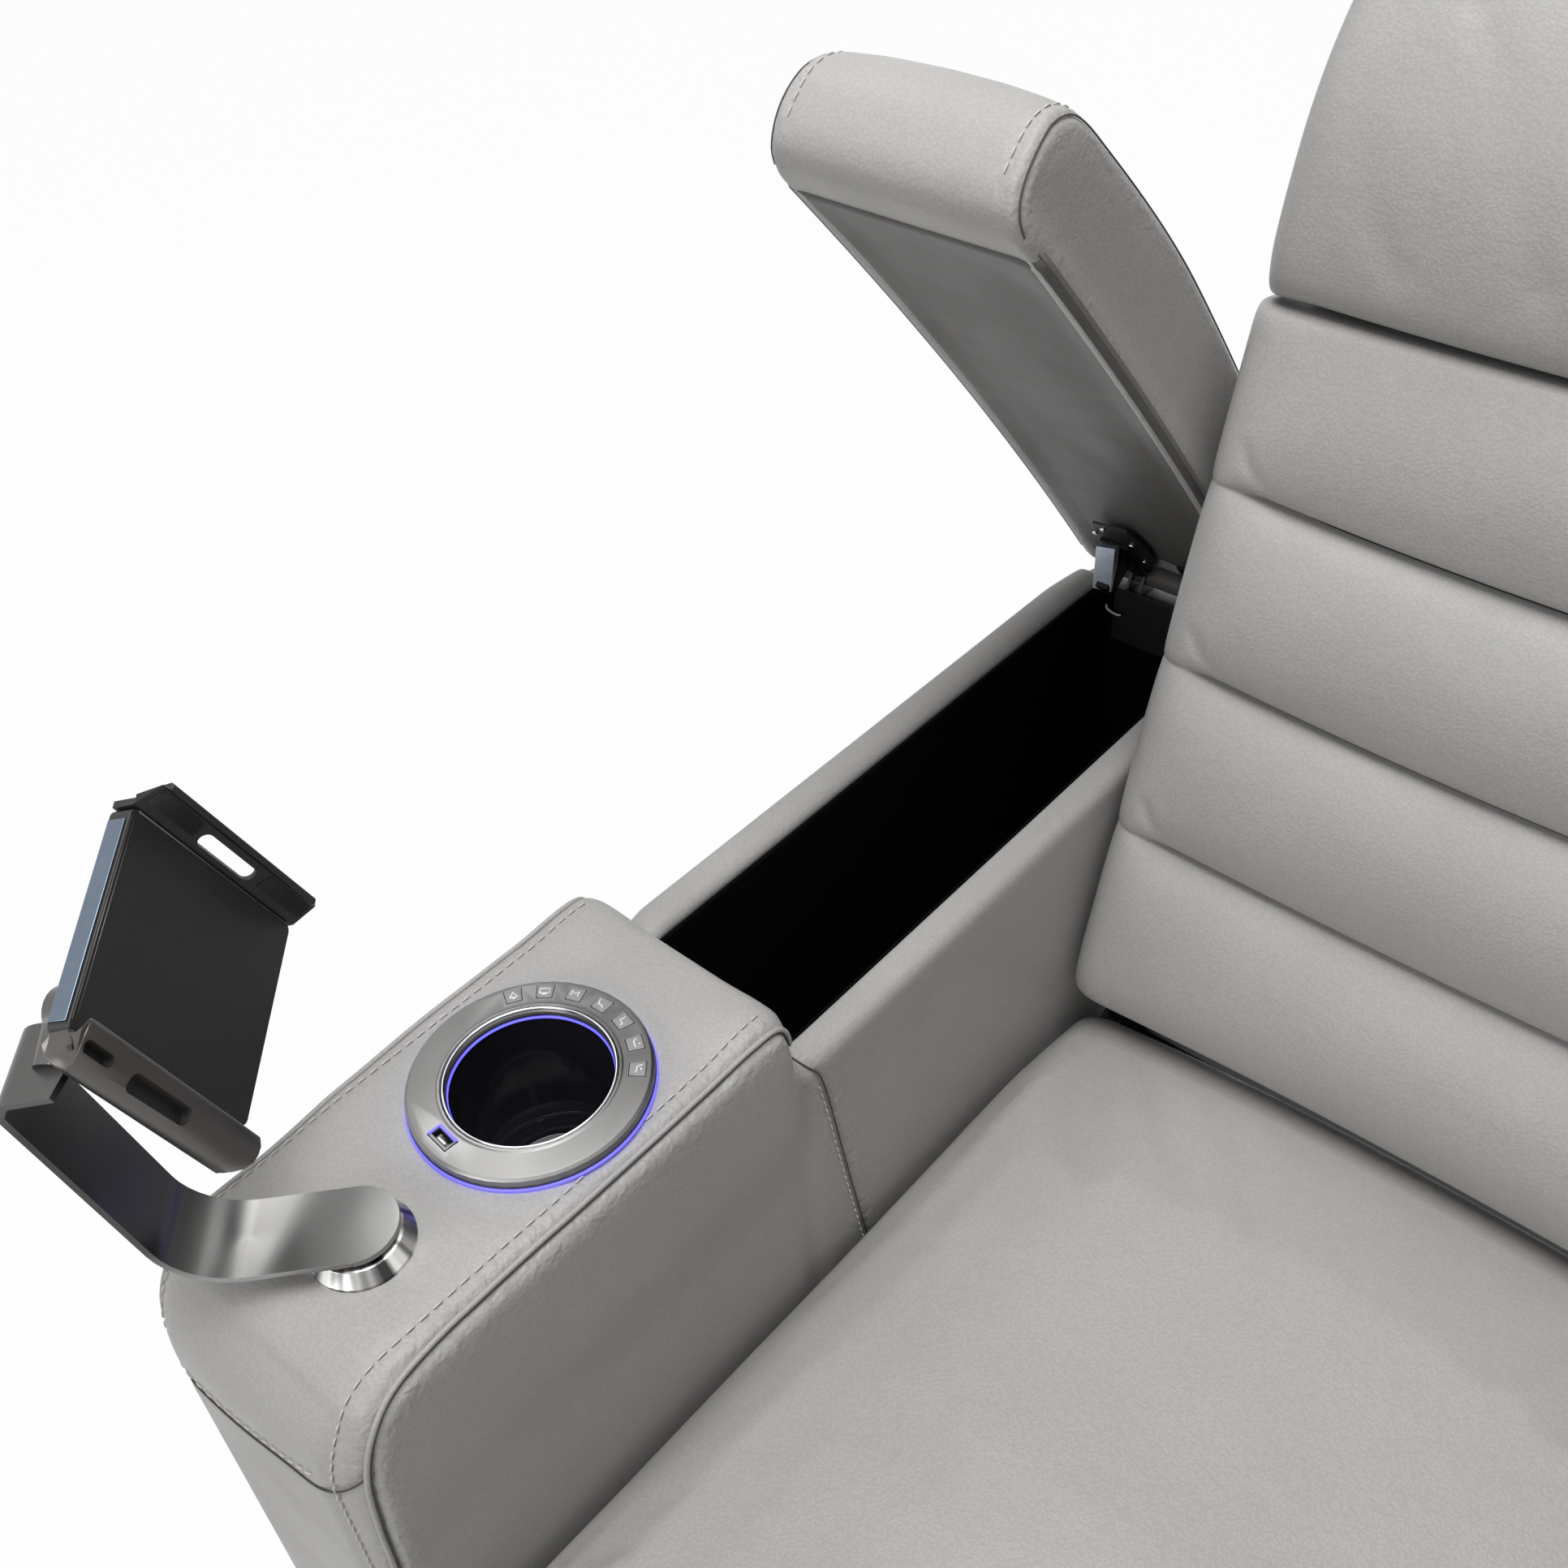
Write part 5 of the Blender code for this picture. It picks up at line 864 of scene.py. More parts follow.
arm_parts = [crease_shade_line(f"right_arm_seam_{name}", spots) for name, spots in arm_seams.items()]
arm_parts.append(welt("right_arm_welt_in", arm_seams["in"], Vector((-1, 0, 0.3))))
arm_parts.append(welt("right_arm_welt_out", arm_seams["out"], Vector((1, 0, 0.3))))
arm_parts.append(stitches("right_arm_topstitch", arm_rows
    + [[(p + Vector((0, -0.004, 0)), n) for p, n in arm_seams["well"][20:]]]))
finish_piece(arm_skin, "chair_base", ["right_arm_console", "right_arm_storage_box"])
for piece in arm_parts:
    finish_piece(piece, "chair_base")
left_skin = copy_mirrored(arm_skin, "left_arm_leather")
finish_piece(left_skin, "chair_base", ["left_arm_console", "left_arm_storage_box"])
for piece in arm_parts:
    finish_piece(copy_mirrored(piece, piece.name.replace("right", "left")), "chair_base")
print("arm cover:", len(arm_skin.data.vertices), "points")

# %% [markdown]
# The lid is a padded board: a top panel that runs over the rounded front end, two side panels, and a flat
# lining panel below. The foam makes it thickest in the middle of its length, and the whole lid is bowed a
# little. It is shaped as if closed and then turned open; the open one also sags to one side on its hinge.

# %% Shape of the lid
def joint_place(name):
    return Vector(next(j["pos_m"] for j in frame["joints"] if j["name"] == name))


LID_OPEN = math.radians(50.2)
hinge_place = joint_place("right_lid_hinge")
hinge_turn = Matrix.Rotation(-LID_OPEN, 4, "X")
lid_turn = Matrix.Translation(hinge_place) @ hinge_turn @ Matrix.Translation(-hinge_place)
LID_OUT, LID_IN = -84.5, 74.5
LID_LOW, LID_HIGH, LID_NOSE, LID_TAIL = -52.9, 11.0, 124.0, 674.0
NOSE_R, CHIN_R = 27, 21   # the roundings of its front end, above and below


def moved_by(matrix, points):
    full = np.array(matrix)
    values = np.array([tuple(p) for p in points])
    return values @ full[:3, :3].T + full[:3, 3]


def squared(side, depth, radius, power=6.0):
    """How far a point on a rounded edge moves out from both faces, so that the edge becomes tighter."""
    a, b = radius - side, radius - depth
    far = np.maximum(np.hypot(a, b), 1e-6)
    lean = np.clip(a / far, 0, 1) ** power + np.clip(b / far, 0, 1) ** power
    lean = np.maximum(lean, 1e-9) ** (-1 / power)
    near = (a > 0) & (b > 0)
    return np.where(near, a * (lean - 1), 0), np.where(near, b * (lean - 1), 0)


def lid_shape(points):
    """Places on the plain closed lid, moved to where the stuffed and bowed one lies."""
    p = to_ring(points)
    px, py, pz = p.T
    pz -= 1.5 * np.clip((LID_LOW + 14 - pz) / 10, 0, 1)
    x, y, z = px.copy(), py.copy(), np.maximum(pz, LID_LOW)
    front, upper = LID_NOSE + NOSE_R - y, z - (LID_HIGH - NOSE_R)
    under = (LID_LOW + CHIN_R) - z
    on_nose = (front > 0) & (upper > 0)
    on_chin = (front > 0) & (under > 0)
    back_set = NOSE_R - CHIN_R
    radial = np.where(on_nose, np.hypot(front, upper), np.hypot(front - back_set, under))
    unit = np.maximum(radial, 1e-6)
    depth = np.where(on_nose, NOSE_R - radial,
        np.where(on_chin, CHIN_R - radial, np.where(front > 0, y - LID_NOSE,
        np.minimum(LID_HIGH - z, z - LID_LOW))))
    ny = np.where(on_nose, -front / unit, np.where(on_chin, -(front - back_set) / unit,
        np.where(front > 0, -1, 0)))
    nz = np.where(on_nose, upper / unit, np.where(on_chin, -under / unit,
        np.where(front > 0, 0, np.where(LID_HIGH - z < z - LID_LOW, 1, -1))))
    for side, way in ((LID_IN - x, 1), (x - LID_OUT, -1)):
        ds, dd = squared(side, depth, 13.0)
        px += way * ds
        py += dd * ny
        pz += dd * nz
    share = np.clip((py - LID_NOSE) / (LID_TAIL - LID_NOSE), 0, 1)
    height = np.clip((pz - LID_LOW) / (LID_HIGH - LID_LOW), 0, 1.2)
    middle = (px + 5) / 80
    px -= 3.0 * np.clip(-middle, 0, 1.1)
    pz += 9.0 * (1 - (2 * share - 1) ** 2)
    pz += height * (8.0 * ease((py - LID_NOSE) / 200) + 7.5 * np.sin(math.pi * share ** 0.55))
    pz += height ** 2 * (3.5 * ease((py - LID_NOSE) / 120) - 1.5) * (1 - middle ** 2)
    py -= height * 3.0 * (1 - ease((py - LID_NOSE) / 60))
    return from_ring(p)


def sagged(points):
    """The open lid leans outwards and droops to the seat's side, as far as its hinge lets it."""
    p = to_ring(points)
    px, py, pz = p.T
    share = np.clip((py - LID_NOSE) / (LID_TAIL - LID_NOSE), 0, 1)
    side = (px + 5) / 80
    px -= 9.0 * (1 - share) + 2.5 * (pz - LID_LOW) / 70
    pz -= 4.0 * side * (1 - 0.5 * share)
    return from_ring(p)


def lid_line(x, drop=0.0, whole=True):
    """A line along the plain closed lid's top and down its front end."""
    points = [at(x, y, LID_HIGH - drop) for y in np.linspace(655, LID_NOSE + NOSE_R, 40)]
    for degrees in np.linspace(90, 180, 12)[1:]:
        a = math.radians(degrees)
        points.append(at(x, LID_NOSE + NOSE_R + (NOSE_R - drop) * math.cos(a), LID_HIGH - NOSE_R
            + (NOSE_R - drop) * math.sin(a)))
    points += [at(x, LID_NOSE + drop, z) for z in np.linspace(-20, LID_LOW + CHIN_R, 4)]
    for degrees in np.linspace(180, 270, 8)[1:]:
        a = math.radians(degrees)
        points.append(at(x, LID_NOSE + CHIN_R + (CHIN_R - drop) * math.cos(a), LID_LOW + CHIN_R
            + (CHIN_R - drop) * math.sin(a)))
    return points if whole else points[:-5]


# %% Arm lid
lid_skin = skin_over("right_lid_leather", ["left_arm_lid"], 5.0)
lid_skin.data.transform(FLIP)
lid_skin.data.flip_normals()
set_coordinates(lid_skin.data, lid_shape(coordinates(lid_skin.data)))


def lid_held(points):
    px, py, pz = to_ring(points).T
    weights = ((pz < LID_LOW + 24) | (py > 650)) * 1.0
    edge = np.minimum(abs(px - LID_IN), abs(px - LID_OUT))
    return np.maximum(weights, (edge < 4) * 0.85)


swell(lid_skin, lid_held, pressure=2.0, cap_mm=4.0, bending=4.0)
finer(lid_skin)
lid_surface = surface_of(lid_skin)
lid_paths = {"in": lid_line(LID_IN, 1.5), "out": lid_line(LID_OUT, 1.5)}
for word, x in (("in", LID_IN), ("out", LID_OUT)):
    lid_paths["foot_" + word] = [at(x, y, LID_LOW + 2.2) for y in np.linspace(645, LID_NOSE + 34, 40)]
lid_seams = {k: seam_on(lid_surface, shaped(path, lid_shape)) for k, path in lid_paths.items()}
lid_stitched = [seam_on(lid_surface, shaped(lid_line(x, whole=False), lid_shape), 1.0)
    for x in (LID_IN - 12.5, LID_OUT + 12.5)]
for word in ("in", "out"):
    press_in(lid_skin.data, places(lid_seams[word]), 2.8, 1.5)
for spots in lid_stitched:
    press_in(lid_skin.data, places(spots), 3.5, 0.7)
pucker_near(lid_skin, [places(spots) for spots in lid_seams.values()], 9, 0.7)
lid_parts = []
for word, spots in lid_seams.items():
    lid_parts.append(crease_shade_line(f"right_lid_seam_{word}", spots, 0.5, -0.2 if "foot" in word else 0.25))
lid_parts.append(stitches("right_lid_topstitch", lid_stitched))


def lining_panel(name):
    """The flat lining under the lid, tucked in beside the side panels; its darker leather is painted shade."""
    bm = bmesh.new()
    rows = []
    for y in np.linspace(LID_NOSE + 38, 645, 50):
        row = []
        across = [LID_OUT, LID_OUT] + list(np.linspace(LID_OUT + 3, LID_IN - 3, 20)) + [LID_IN, LID_IN]
        for k, x in enumerate(across):
            place = shaped([at(x, y, LID_LOW + (2.0 if k in (0, 23) else 0.0))], lid_shape)[0]
            spot, normal, _, _ = lid_surface.find_nearest(place)
            row.append(bm.verts.new(spot + normal * 0.0007))
        rows.append(row)
    for first, second in zip(rows, rows[1:]):
        for k in range(len(first) - 1):
            bm.faces.new((first[k], second[k], second[k + 1], first[k + 1]))
    for k in range(24):
        line = smoothed([row[k].co for row in rows], 12)
        for row, place in zip(rows, line):
            row[k].co = place
    edge = bmesh.ops.extrude_face_region(bm, geom=bm.faces[:])
    bmesh.ops.translate(bm, verts=[v for v in edge["geom"] if isinstance(v, bmesh.types.BMVert)],
        vec=(0, 0, 0.004))
    bmesh.ops.recalc_face_normals(bm, faces=bm.faces)
    return piece_of(name, bm, painted_shade_leather)


lid_panel = lining_panel("right_lid_lining")
lid_pieces = [(lid_skin, "arm_lid"), (lid_panel, "lid_underboard")] + [(part, "") for part in lid_parts]
for piece, replaced in lid_pieces:
    twin = copy_mirrored(piece, piece.name.replace("right", "left"))
    slot = "fabric_panel" if replaced == "lid_underboard" else "leather"
    finish_piece(twin, "left_lid", [f"left_{replaced}"] if replaced else (), slot)
    set_coordinates(piece.data, moved_by(lid_turn, sagged(coordinates(piece.data))))
    finish_piece(piece, "right_lid", [f"right_{replaced}"] if replaced else (), slot)
print("lids:", len(lid_skin.data.vertices), "points each")

# %% [markdown]
# The seat is one broad foam cushion. Its cover is pulled down at the sides and over the front edge, and it
# has the full crown of firm foam.

# %% Seat cushion
seat_skin = skin_over("seat_cushion_leather", ["seat_cushion"], 6.0)


def seat_shape(points):
    """The seat's foam stands fuller towards the back, where it meets the lowest roll."""
    p = points.copy()
    px, py, pz = p.T
    rear = ease((py - (seat_high.y - 0.30)) / 0.24)
    top = ease((pz - (seat_high.z - 0.07)) / 0.05)
    depth = (seat_high.z - 0.006 - pz) * 1000
    for side, way in (((seat_high.x - px) * 1000, 1), ((px - seat_low.x) * 1000, -1)):
        ds, dd = squared(side, depth, 38.0, 4.0)
        px += way * ds / 1000
        pz += dd / 1000
    ds, dd = squared((seat_high.y - points[:, 1]) * 1000, depth, 22.0, 5.0)
    py += ds / 1000
    pz += dd / 1000
    pz += 0.016 * rear * top
    py += 0.005 * ease((py - (seat_high.y - 0.04)) / 0.03) * top
    return p


set_coordinates(seat_skin.data, seat_shape(coordinates(seat_skin.data)))


def seat_held(points):
    weights = (points[:, 2] < seat_low.z + 0.006) * 1.0
    weights = np.maximum(weights, (points[:, 1] > seat_high.y - 0.02) * 1.0)
    side = np.maximum(points[:, 0] - (seat_high.x - 0.004), (seat_low.x + 0.004) - points[:, 0])
    return np.maximum(weights, (side > 0) * 0.95)


swell(seat_skin, seat_held, pressure=2.5, cap_mm=7.0, bending=6.0)
finer(seat_skin)
finish_piece(seat_skin, "chair_base", ["seat_cushion"])
print("seat:", len(seat_skin.data.vertices), "points")

# %% [markdown]
# The back has four seams sewn right through to its board, which divide it into plump rolls. Each roll is
# fuller below, where it hangs over the seam, and slopes back more gently above. Towards the sides the seams
# get shallow, so that the edge of the back stays straight. The cover is laid out as an even net of quads
# with its rows along the seams, and then blown up while the seams hold.

# %% Back cushion
LEAN = math.radians(17.6)
back_pivot = joint_place("back_recline")
up_back = Vector((0, math.sin(LEAN), math.cos(LEAN)))
out_back = Vector((0, -math.cos(LEAN), math.sin(LEAN)))
SEAMS_MM = [54.0, 202.0, 319.0, 436.0, 553.0]
HALF_MM = 274.0


def on_back(x, out, up):
    """World place from millimetres across, in front of and above the back's pivot."""
    middle = Vector((chair_x, back_pivot.y, back_pivot.z)) + Vector((x / 1000, 0, 0))
    return middle + out_back * (out / 1000) + up_back * (up / 1000)


def columns(radius):
    """Places across a cushion and how far its front is drawn in there."""
    spots = [(-HALF_MM + radius - radius * math.sin(a), radius * (1 - math.cos(a)))
        for a in np.linspace(math.pi / 2, 0, 8)]
    inner = [(x, 0.0) for x in np.concatenate([np.linspace(-HALF_MM + radius, -190, 10)[1:],
        np.linspace(-190, 190, 40)[1:-1], np.linspace(190, HALF_MM - radius, 10)[:-1]])]
    return spots + inner + [(-x, inset) for x, inset in reversed(spots)]


def cushion_loft(name, rings):
    """A closed skin through rings of places; its ends are closed by smaller and smaller rings."""
    bm = bmesh.new()

    def closing(ring):
        middle = sum(ring, Vector()) / len(ring)
        return [[middle + (p - middle) * share for p in ring] for share in (0.85, 0.6, 0.3)]

    capped = closing(rings[0])[::-1] + rings + closing(rings[-1])
    join_rings(bm, [[bm.verts.new(p) for p in ring] for ring in capped])
    bmesh.ops.remove_doubles(bm, verts=bm.verts, dist=0.00002)
    bmesh.ops.recalc_face_normals(bm, faces=bm.faces)
    return piece_of(name, bm, leather)


def roll_out(share):
    """How full a roll stands between its lower seam (0) and upper seam (1)."""
    s = 2 * share - 1
    return max(0.0, 1 - abs(s) ** 5.0) ** 0.45 if s < 0 else max(0.0, 1 - abs(s) ** 3.0) ** 0.55


def seam_heights(x):
    """Heights of the seams at x: the cover hangs a little in the middle of the back."""
    full = max(0.0, 1 - (x / 245) ** 2)
    bottom, first, second, third, top = SEAMS_MM
    return [bottom + 3 + 7 * full, first - 5.5 - 5 * full, second - 11 * full, third - 11 * full,
            top - 8 - 6 * full]


def back_outline(x, inset):
    """One closed ring of the back cushion: up the front over the rolls, and down behind."""
    shallow = eased((abs(x) - 218) / 44)
    shares = [0, 0.008, 0.02, 0.04, 0.07, 0.11, 0.16, 0.22, 0.29, 0.37, 0.46, 0.55, 0.64, 0.72, 0.79, 0.85,
        0.9, 0.94, 0.965, 0.985]
    rows = seam_heights(x)
    low = rows[0]
    points = [(20, low - 14), (44, low - 14), (62, low - 10)]
    for number, (low, high) in enumerate(zip(rows, rows[1:])):
        for share in shares:
            hollow = 25.0 * (1 - 0.80 * shallow)
            if number == 0 and share < 0.4:
                hollow = 14.0
            if number == 3 and share > 0.4:
                hollow = 30.0
            full = roll_out(share)
            if number == 3 and share >= 0.5:
                full = max(0.0, 1 - (2 * share - 1) ** 14) ** 0.4
            out = 96 - hollow * (1 - full)
            hang = 4.0 * math.exp(-((share - 0.05) / 0.05) ** 2) * eased(share / 0.03) * (1 - shallow)
            points.append((out, low + (high - low) * share - hang * (number > 0)))
    points += [(46, rows[4] + 1), (30, rows[4] + 4), (16, rows[4] + 6), (4, rows[4] + 3)]
    points += [(4, v) for v in np.linspace(520, 70, 16)] + [(4, 44)]
    return [on_back(x, max(4.0, out - inset * min(1.0, (out - 4) / 40)), up) for out, up in points]


back_skin = cushion_loft("back_cushion_leather", [back_outline(x, inset) for x, inset in columns(24.0)])


def back_frame_of(points):
    """Height up the back and distance in front of the pivot, in millimetres."""
    offset = (points - np.array(back_pivot)) * 1000
    return offset @ np.array(up_back), offset @ np.array(out_back)


def back_held(points):
    height, depth = back_frame_of(points)
    across = (points[:, 0] - chair_x) * 1000
    rows = np.array([seam_heights(x) for x in across])
    weights = ((depth < 40) | (height < rows[:, 0] - 4) | (height > rows[:, 4] - 12)) * 1.0
    for k in (1, 2, 3):
        weights = np.maximum(weights, (abs(height - rows[:, k]) < 2.4) * 1.0)
    return np.maximum(weights, ease((abs(across) - 255) / 12))


swell(back_skin, back_held, pressure=2.5, cap_mm=6.0, bending=2.0)
finer(back_skin)
for seam in seam_heights(240)[1:4]:
    for way in (-1, 1):
        fold = [(232, 96, 5), (243, 96, 14), (250, 94, 27)]
        path = along([on_back(way * x, out, seam + up) for x, out, up in fold], 1.5)
        press_in(back_skin.data, path, 3.5, 2.2)
finish_piece(back_skin, "back", ["back_cushion"])
for k in (1, 2, 3):
    line = []
    for x in np.linspace(-238, 238, 70):
        out = 70.2 + 20 * eased((abs(x) - 218) / 44) + 7.5 * eased((238 - abs(x)) / 50)
        line.append(on_back(x, out, seam_heights(x)[k] - 0.5))
    finish_piece(tube(f"back_seam_shade_{k}", along(line, 3.0), 1.8, seam_shade), "back")

# %% Headrest
HEAD_OUTLINE = [(8, 594), (20, 575), (40, 563), (58, 556), (74, 552), (88, 551), (98, 555), (104, 565),
    (109, 582), (114, 608), (117, 640), (115, 672), (107, 705), (94, 734), (75, 757), (53, 771), (32, 777),
    (15, 774), (7, 758), (6, 720), (6, 680), (6, 635)]


def head_outline(x, inset):
    """One closed ring of the headrest; its lower edge hangs over the highest roll."""
    wide = abs(x) / HALF_MM
    outline = [Vector((0, out / 1000, up / 1000)) for out, up in HEAD_OUTLINE + HEAD_OUTLINE[:1]]
    ring = []
    for p in along(outline, 7.0)[:-1]:
        out, up = p.y * 1000, p.z * 1000
        out -= inset * min(1.0, max(0, out - 6) / 40)
        before = eased((out - 20) / 40)
        up -= 11.5 * max(0.0, 1 - (x / 245) ** 2) * eased((640 - up) / 70) * before
        up -= 5.0 * wide ** 2 * eased((620 - up) / 60) * before
        up -= (inset * 0.35 + 3 * wide ** 3) * eased((up - 640) / 120)
        narrow = 1 - 0.018 - 0.026 * max(0.0, (up - 575) / 125)
        ring.append(on_back(x * narrow, out, up))
    return ring


head_skin = cushion_loft("headrest_leather", [head_outline(x, inset) for x, inset in columns(24.0)])


def head_held(points):
    height, depth = back_frame_of(points)
    weights = ((depth < 30) | (height < 556)) * 1.0
    side = abs(points[:, 0] - chair_x) * 1000
    return np.maximum(weights, ease((side - 258) / 10))


swell(head_skin, head_held, pressure=2.0, cap_mm=6.0, bending=3.0)
finer(head_skin)
# Soft folds in its front: three places across and up, and a depth.
HEAD_FOLDS = [((-190, 700), (-150, 640), (-118, 580), 1.8), ((-226, 640), (-212, 605), (-190, 574), 1.4),
              ((-120, 690), (-80, 630), (-40, 575), 1.2), ((150, 690), (170, 640), (205, 580), 1.5),
              ((60, 660), (90, 620), (130, 574), 1.2)]
for *spots, depth in HEAD_FOLDS:
    press_in(head_skin.data, along([on_back(x, 106, up) for x, up in spots], 3.0), 9.0, depth)
finish_piece(head_skin, "headrest", ["headrest_cushion"])
print("back:", len(back_skin.data.vertices), "headrest:", len(head_skin.data.vertices), "points")

# %% Footrest pad and back cover
pad_skin = skin_over("footrest_pad_leather", ["footrest_pad"], 6.0)
pad_low, pad_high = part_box("footrest_pad")


def pad_held(points):
    weights = (points[:, 1] > pad_high.y - 0.004) * 1.0
    side = np.maximum(points[:, 0] - (pad_high.x - 0.003), (pad_low.x + 0.003) - points[:, 0])
    return np.maximum(weights, (side > 0) * 0.8)


swell(pad_skin, pad_held, pressure=2.0, cap_mm=4.0, bending=4.0)
finer(pad_skin)
finish_piece(pad_skin, "footrest_panel", ["footrest_pad"])
cover_skin = skin_over("back_cover_leather", ["back_cover"], 5.0)
finish_piece(cover_skin, "back", ["back_cover"])

# %% [markdown]
# Small hard parts are made in three ways: a round loop for rings, a bar through cross-sections for moulded
# shapes, and openings cut out of a bar.

# %% Loops and bars
def loop(name, centre, radius_mm, height_mm, tube_mm, finish):
    """A closed round ring of a given tube radius, lying flat."""
    bm = bmesh.new()
    rings = []
    count, sides = 128, 10
    for i in range(count):
        a = 2 * math.pi * i / count
        across = Vector((math.cos(a), math.sin(a), 0))
        middle = centre + across * (radius_mm / 1000) + UP * (height_mm / 1000)
        rings.append(round_ring(bm, middle, across, UP, tube_mm / 1000, sides))
    for i in range(count):
        first, second = rings[i], rings[(i + 1) % count]
        for k in range(sides):
            m = (k + 1) % sides
            bm.faces.new((first[k], second[k], second[m], first[m]))
    bmesh.ops.recalc_face_normals(bm, faces=bm.faces)
    return piece_of(name, bm, finish)


def bar(name, sections, finish, bevel_mm=0.0):
    """A solid through closed outlines that have the same number of points."""
    bm = bmesh.new()
    join_rings(bm, [[bm.verts.new(p) for p in section] for section in sections])
    bmesh.ops.recalc_face_normals(bm, faces=bm.faces)
    piece = piece_of(name, bm, finish)
    piece.data.set_sharp_from_angle(angle=math.radians(35))
    if bevel_mm:
        rounding = piece.modifiers.new("eased_edges", "BEVEL")
        rounding.width = bevel_mm / 1000
        rounding.segments = 3
        rounding.angle_limit = math.radians(50)
    return piece


def oblong(low, high):
    """The corners of a rectangle, from two opposite ones."""
    return [(low[0], low[1]), (high[0], low[1]), (high[0], high[1]), (low[0], high[1])]


def bored(piece, cutters):
    """Cuts pieces out of a solid and removes them."""
    for cutter in cutters:
        cut = piece.modifiers.new("opening", "BOOLEAN")
        cut.operation = "DIFFERENCE"
        cut.solver = "EXACT"
        cut.object = cutter
    mesh = baked(piece)
    for cutter in cutters:
        bpy.data.objects.remove(cutter)
    mesh.shade_smooth()
    mesh.set_sharp_from_angle(angle=math.radians(38))
    return piece


def obround(first, second, radius):
    """Flat outline with round ends from one (across, up) place to another."""
    (ax, ay), (bx, by) = first, second
    turn = math.atan2(by - ay, bx - ax)
    ends = [(bx, by, turn - math.pi / 2), (ax, ay, turn + math.pi / 2)]
    return [(x + radius * math.cos(start + math.pi * k / 10),
        y + radius * math.sin(start + math.pi * k / 10)) for x, y, start in ends for k in range(11)]


# %% [markdown]
# The phone holder: a matt plate with a thin raised frame, a lower jaw like a deep lip with two cable
# openings, and an upper jaw that flares open, with an opening between two ribbed rubber pads. Measured
# along, up and out from the plate's middle.

# %% Phone holder
def cradle_axes(heading=35.2, tilt=12.5, roll=17.8):
    heading, tilt, roll = (math.radians(v) for v in (heading, tilt, roll))
    out = Vector((math.cos(tilt) * math.cos(heading), math.cos(tilt) * math.sin(heading), math.sin(tilt)))
    down = (out * out.z - UP).normalized()
    along_jaws = down * math.cos(roll) + out.cross(down) * math.sin(roll)
    return along_jaws, out.cross(along_jaws), out


CRADLE_ALONG, CRADLE_UP, CRADLE_OUT = cradle_axes()


def on_cradle(a, u, o):
    return at(-65, -112, 137) + (CRADLE_ALONG * a + CRADLE_UP * u + CRADLE_OUT * o) / 1000


def on_holder(piece, replaced=()):
    return finish_piece(piece, "cradle", replaced, "black_plastic")


def plate_outline(half, low, high, radius, o):
    corners = [(half - radius, high - radius, 0), (radius - half, high - radius, 90),
        (radius - half, low + radius, 180), (half - radius, low + radius, 270)]
    return [on_cradle(a + radius * math.cos(math.radians(t + k * 15)),
        u + radius * math.sin(math.radians(t + k * 15)), o) for a, u, t in corners for k in range(7)]


plate = [plate_outline(60, -51.5, 51.5, 4.0, o) for o in (-11.0, 0.0)]
on_holder(bar("cradle_body", plate, matte_abs, 0.6), ["cradle_plate"])
LOWER_JAW = [(-51.5, 9.2), (-52.6, 10.0), (-56, 10.3), (-60, 9.8), (-64, 8.4), (-67.3, 5.8), (-69.6, 2.2),
    (-70.4, -2.0), (-69.4, -6.5), (-66.4, -9.8), (-62.0, -11.0), (-50.0, -11.0), (-50.0, -0.3),
    (-56.5, 0.4), (-58.0, 2.6), (-58.0, 5.0), (-56.5, 7.0), (-52.6, 7.7)]


JAW_SKEW = 0.085


def jaw_place(a, u, o):
    """The lower jaw stands a little askew under the plate."""
    return on_cradle(a, u - (JAW_SKEW * a if u < -50.5 else 0), o)


def jaw_section(profile, a, reach, place):
    """A jaw's profile at a along it; near its ends it follows the rounded outline that reach gives."""
    return [place(a if abs(a) < 50 else math.copysign(reach(u, o), a), u, o) for u, o in profile]


def jaw_reach(u, _):
    """How far the lower jaw reaches, with round corners."""
    lower, upper = min(9.9, max(0.0, -60.5 - u)), min(3.9, max(0.0, u + 55.5))
    return 60.5 - (10 - math.sqrt(100 - lower ** 2)) - (4 - math.sqrt(16 - upper ** 2))


sections = [jaw_section(LOWER_JAW, a, jaw_reach, jaw_place) for a in (-60, -45, -15, 15, 45, 60)]
lower_jaw = bar("cradle_lower_jaw", sections, gunmetal, 1.3)
openings, floors = [], []
for number, (first, second, radius) in enumerate((((-55.5, -62.8), (-42.5, -62.8), 2.5),
        ((-25, -64.0), (8.5, -63.6), 3.7))):
    shape = obround(first, second, radius)
    openings.append(bar(f"opening_{number}", [[jaw_place(a, u, o) for a, u in shape] for o in (2.5, 20)],
        gunmetal))
    wider = obround(first, second, radius + 0.5)
    floors.append(bar(f"cradle_opening_floor_{number}",
        [[jaw_place(a, u, o) for a, u in wider] for o in (0.8, 3.2)], matte_abs))
on_holder(bored(lower_jaw, openings))
for piece in floors:
    on_holder(piece)
for number, a in enumerate((-58.9, -57.0)):
    on_holder(tube(f"cradle_frame_line_{number}", [on_cradle(a, u, 0.05) for u in (-47, 0, 47)], 0.35,
        gunmetal))
on_holder(tube("cradle_top_edge", [on_cradle(a, 50.7, 0.1) for a in (-56, 0, 56)], 0.6, gunmetal))
band = [[on_cradle(a, u, o) for a, o in oblong((-60.1, -10.2), (-60.9, -1.4))] for u in (-48, 0, 45)]
on_holder(bar("cradle_side_band", band, blued, 0.3))
UPPER_JAW = [(51.7, -11), (51.7, 0.2), (52.3, 1.3), (59.8, 12.2), (59.2, 13.4), (60.1, 14.8), (62.0, 15.2),
    (63.6, 13.3), (55.9, 1.8), (55.4, 0.4), (55.4, -11)]


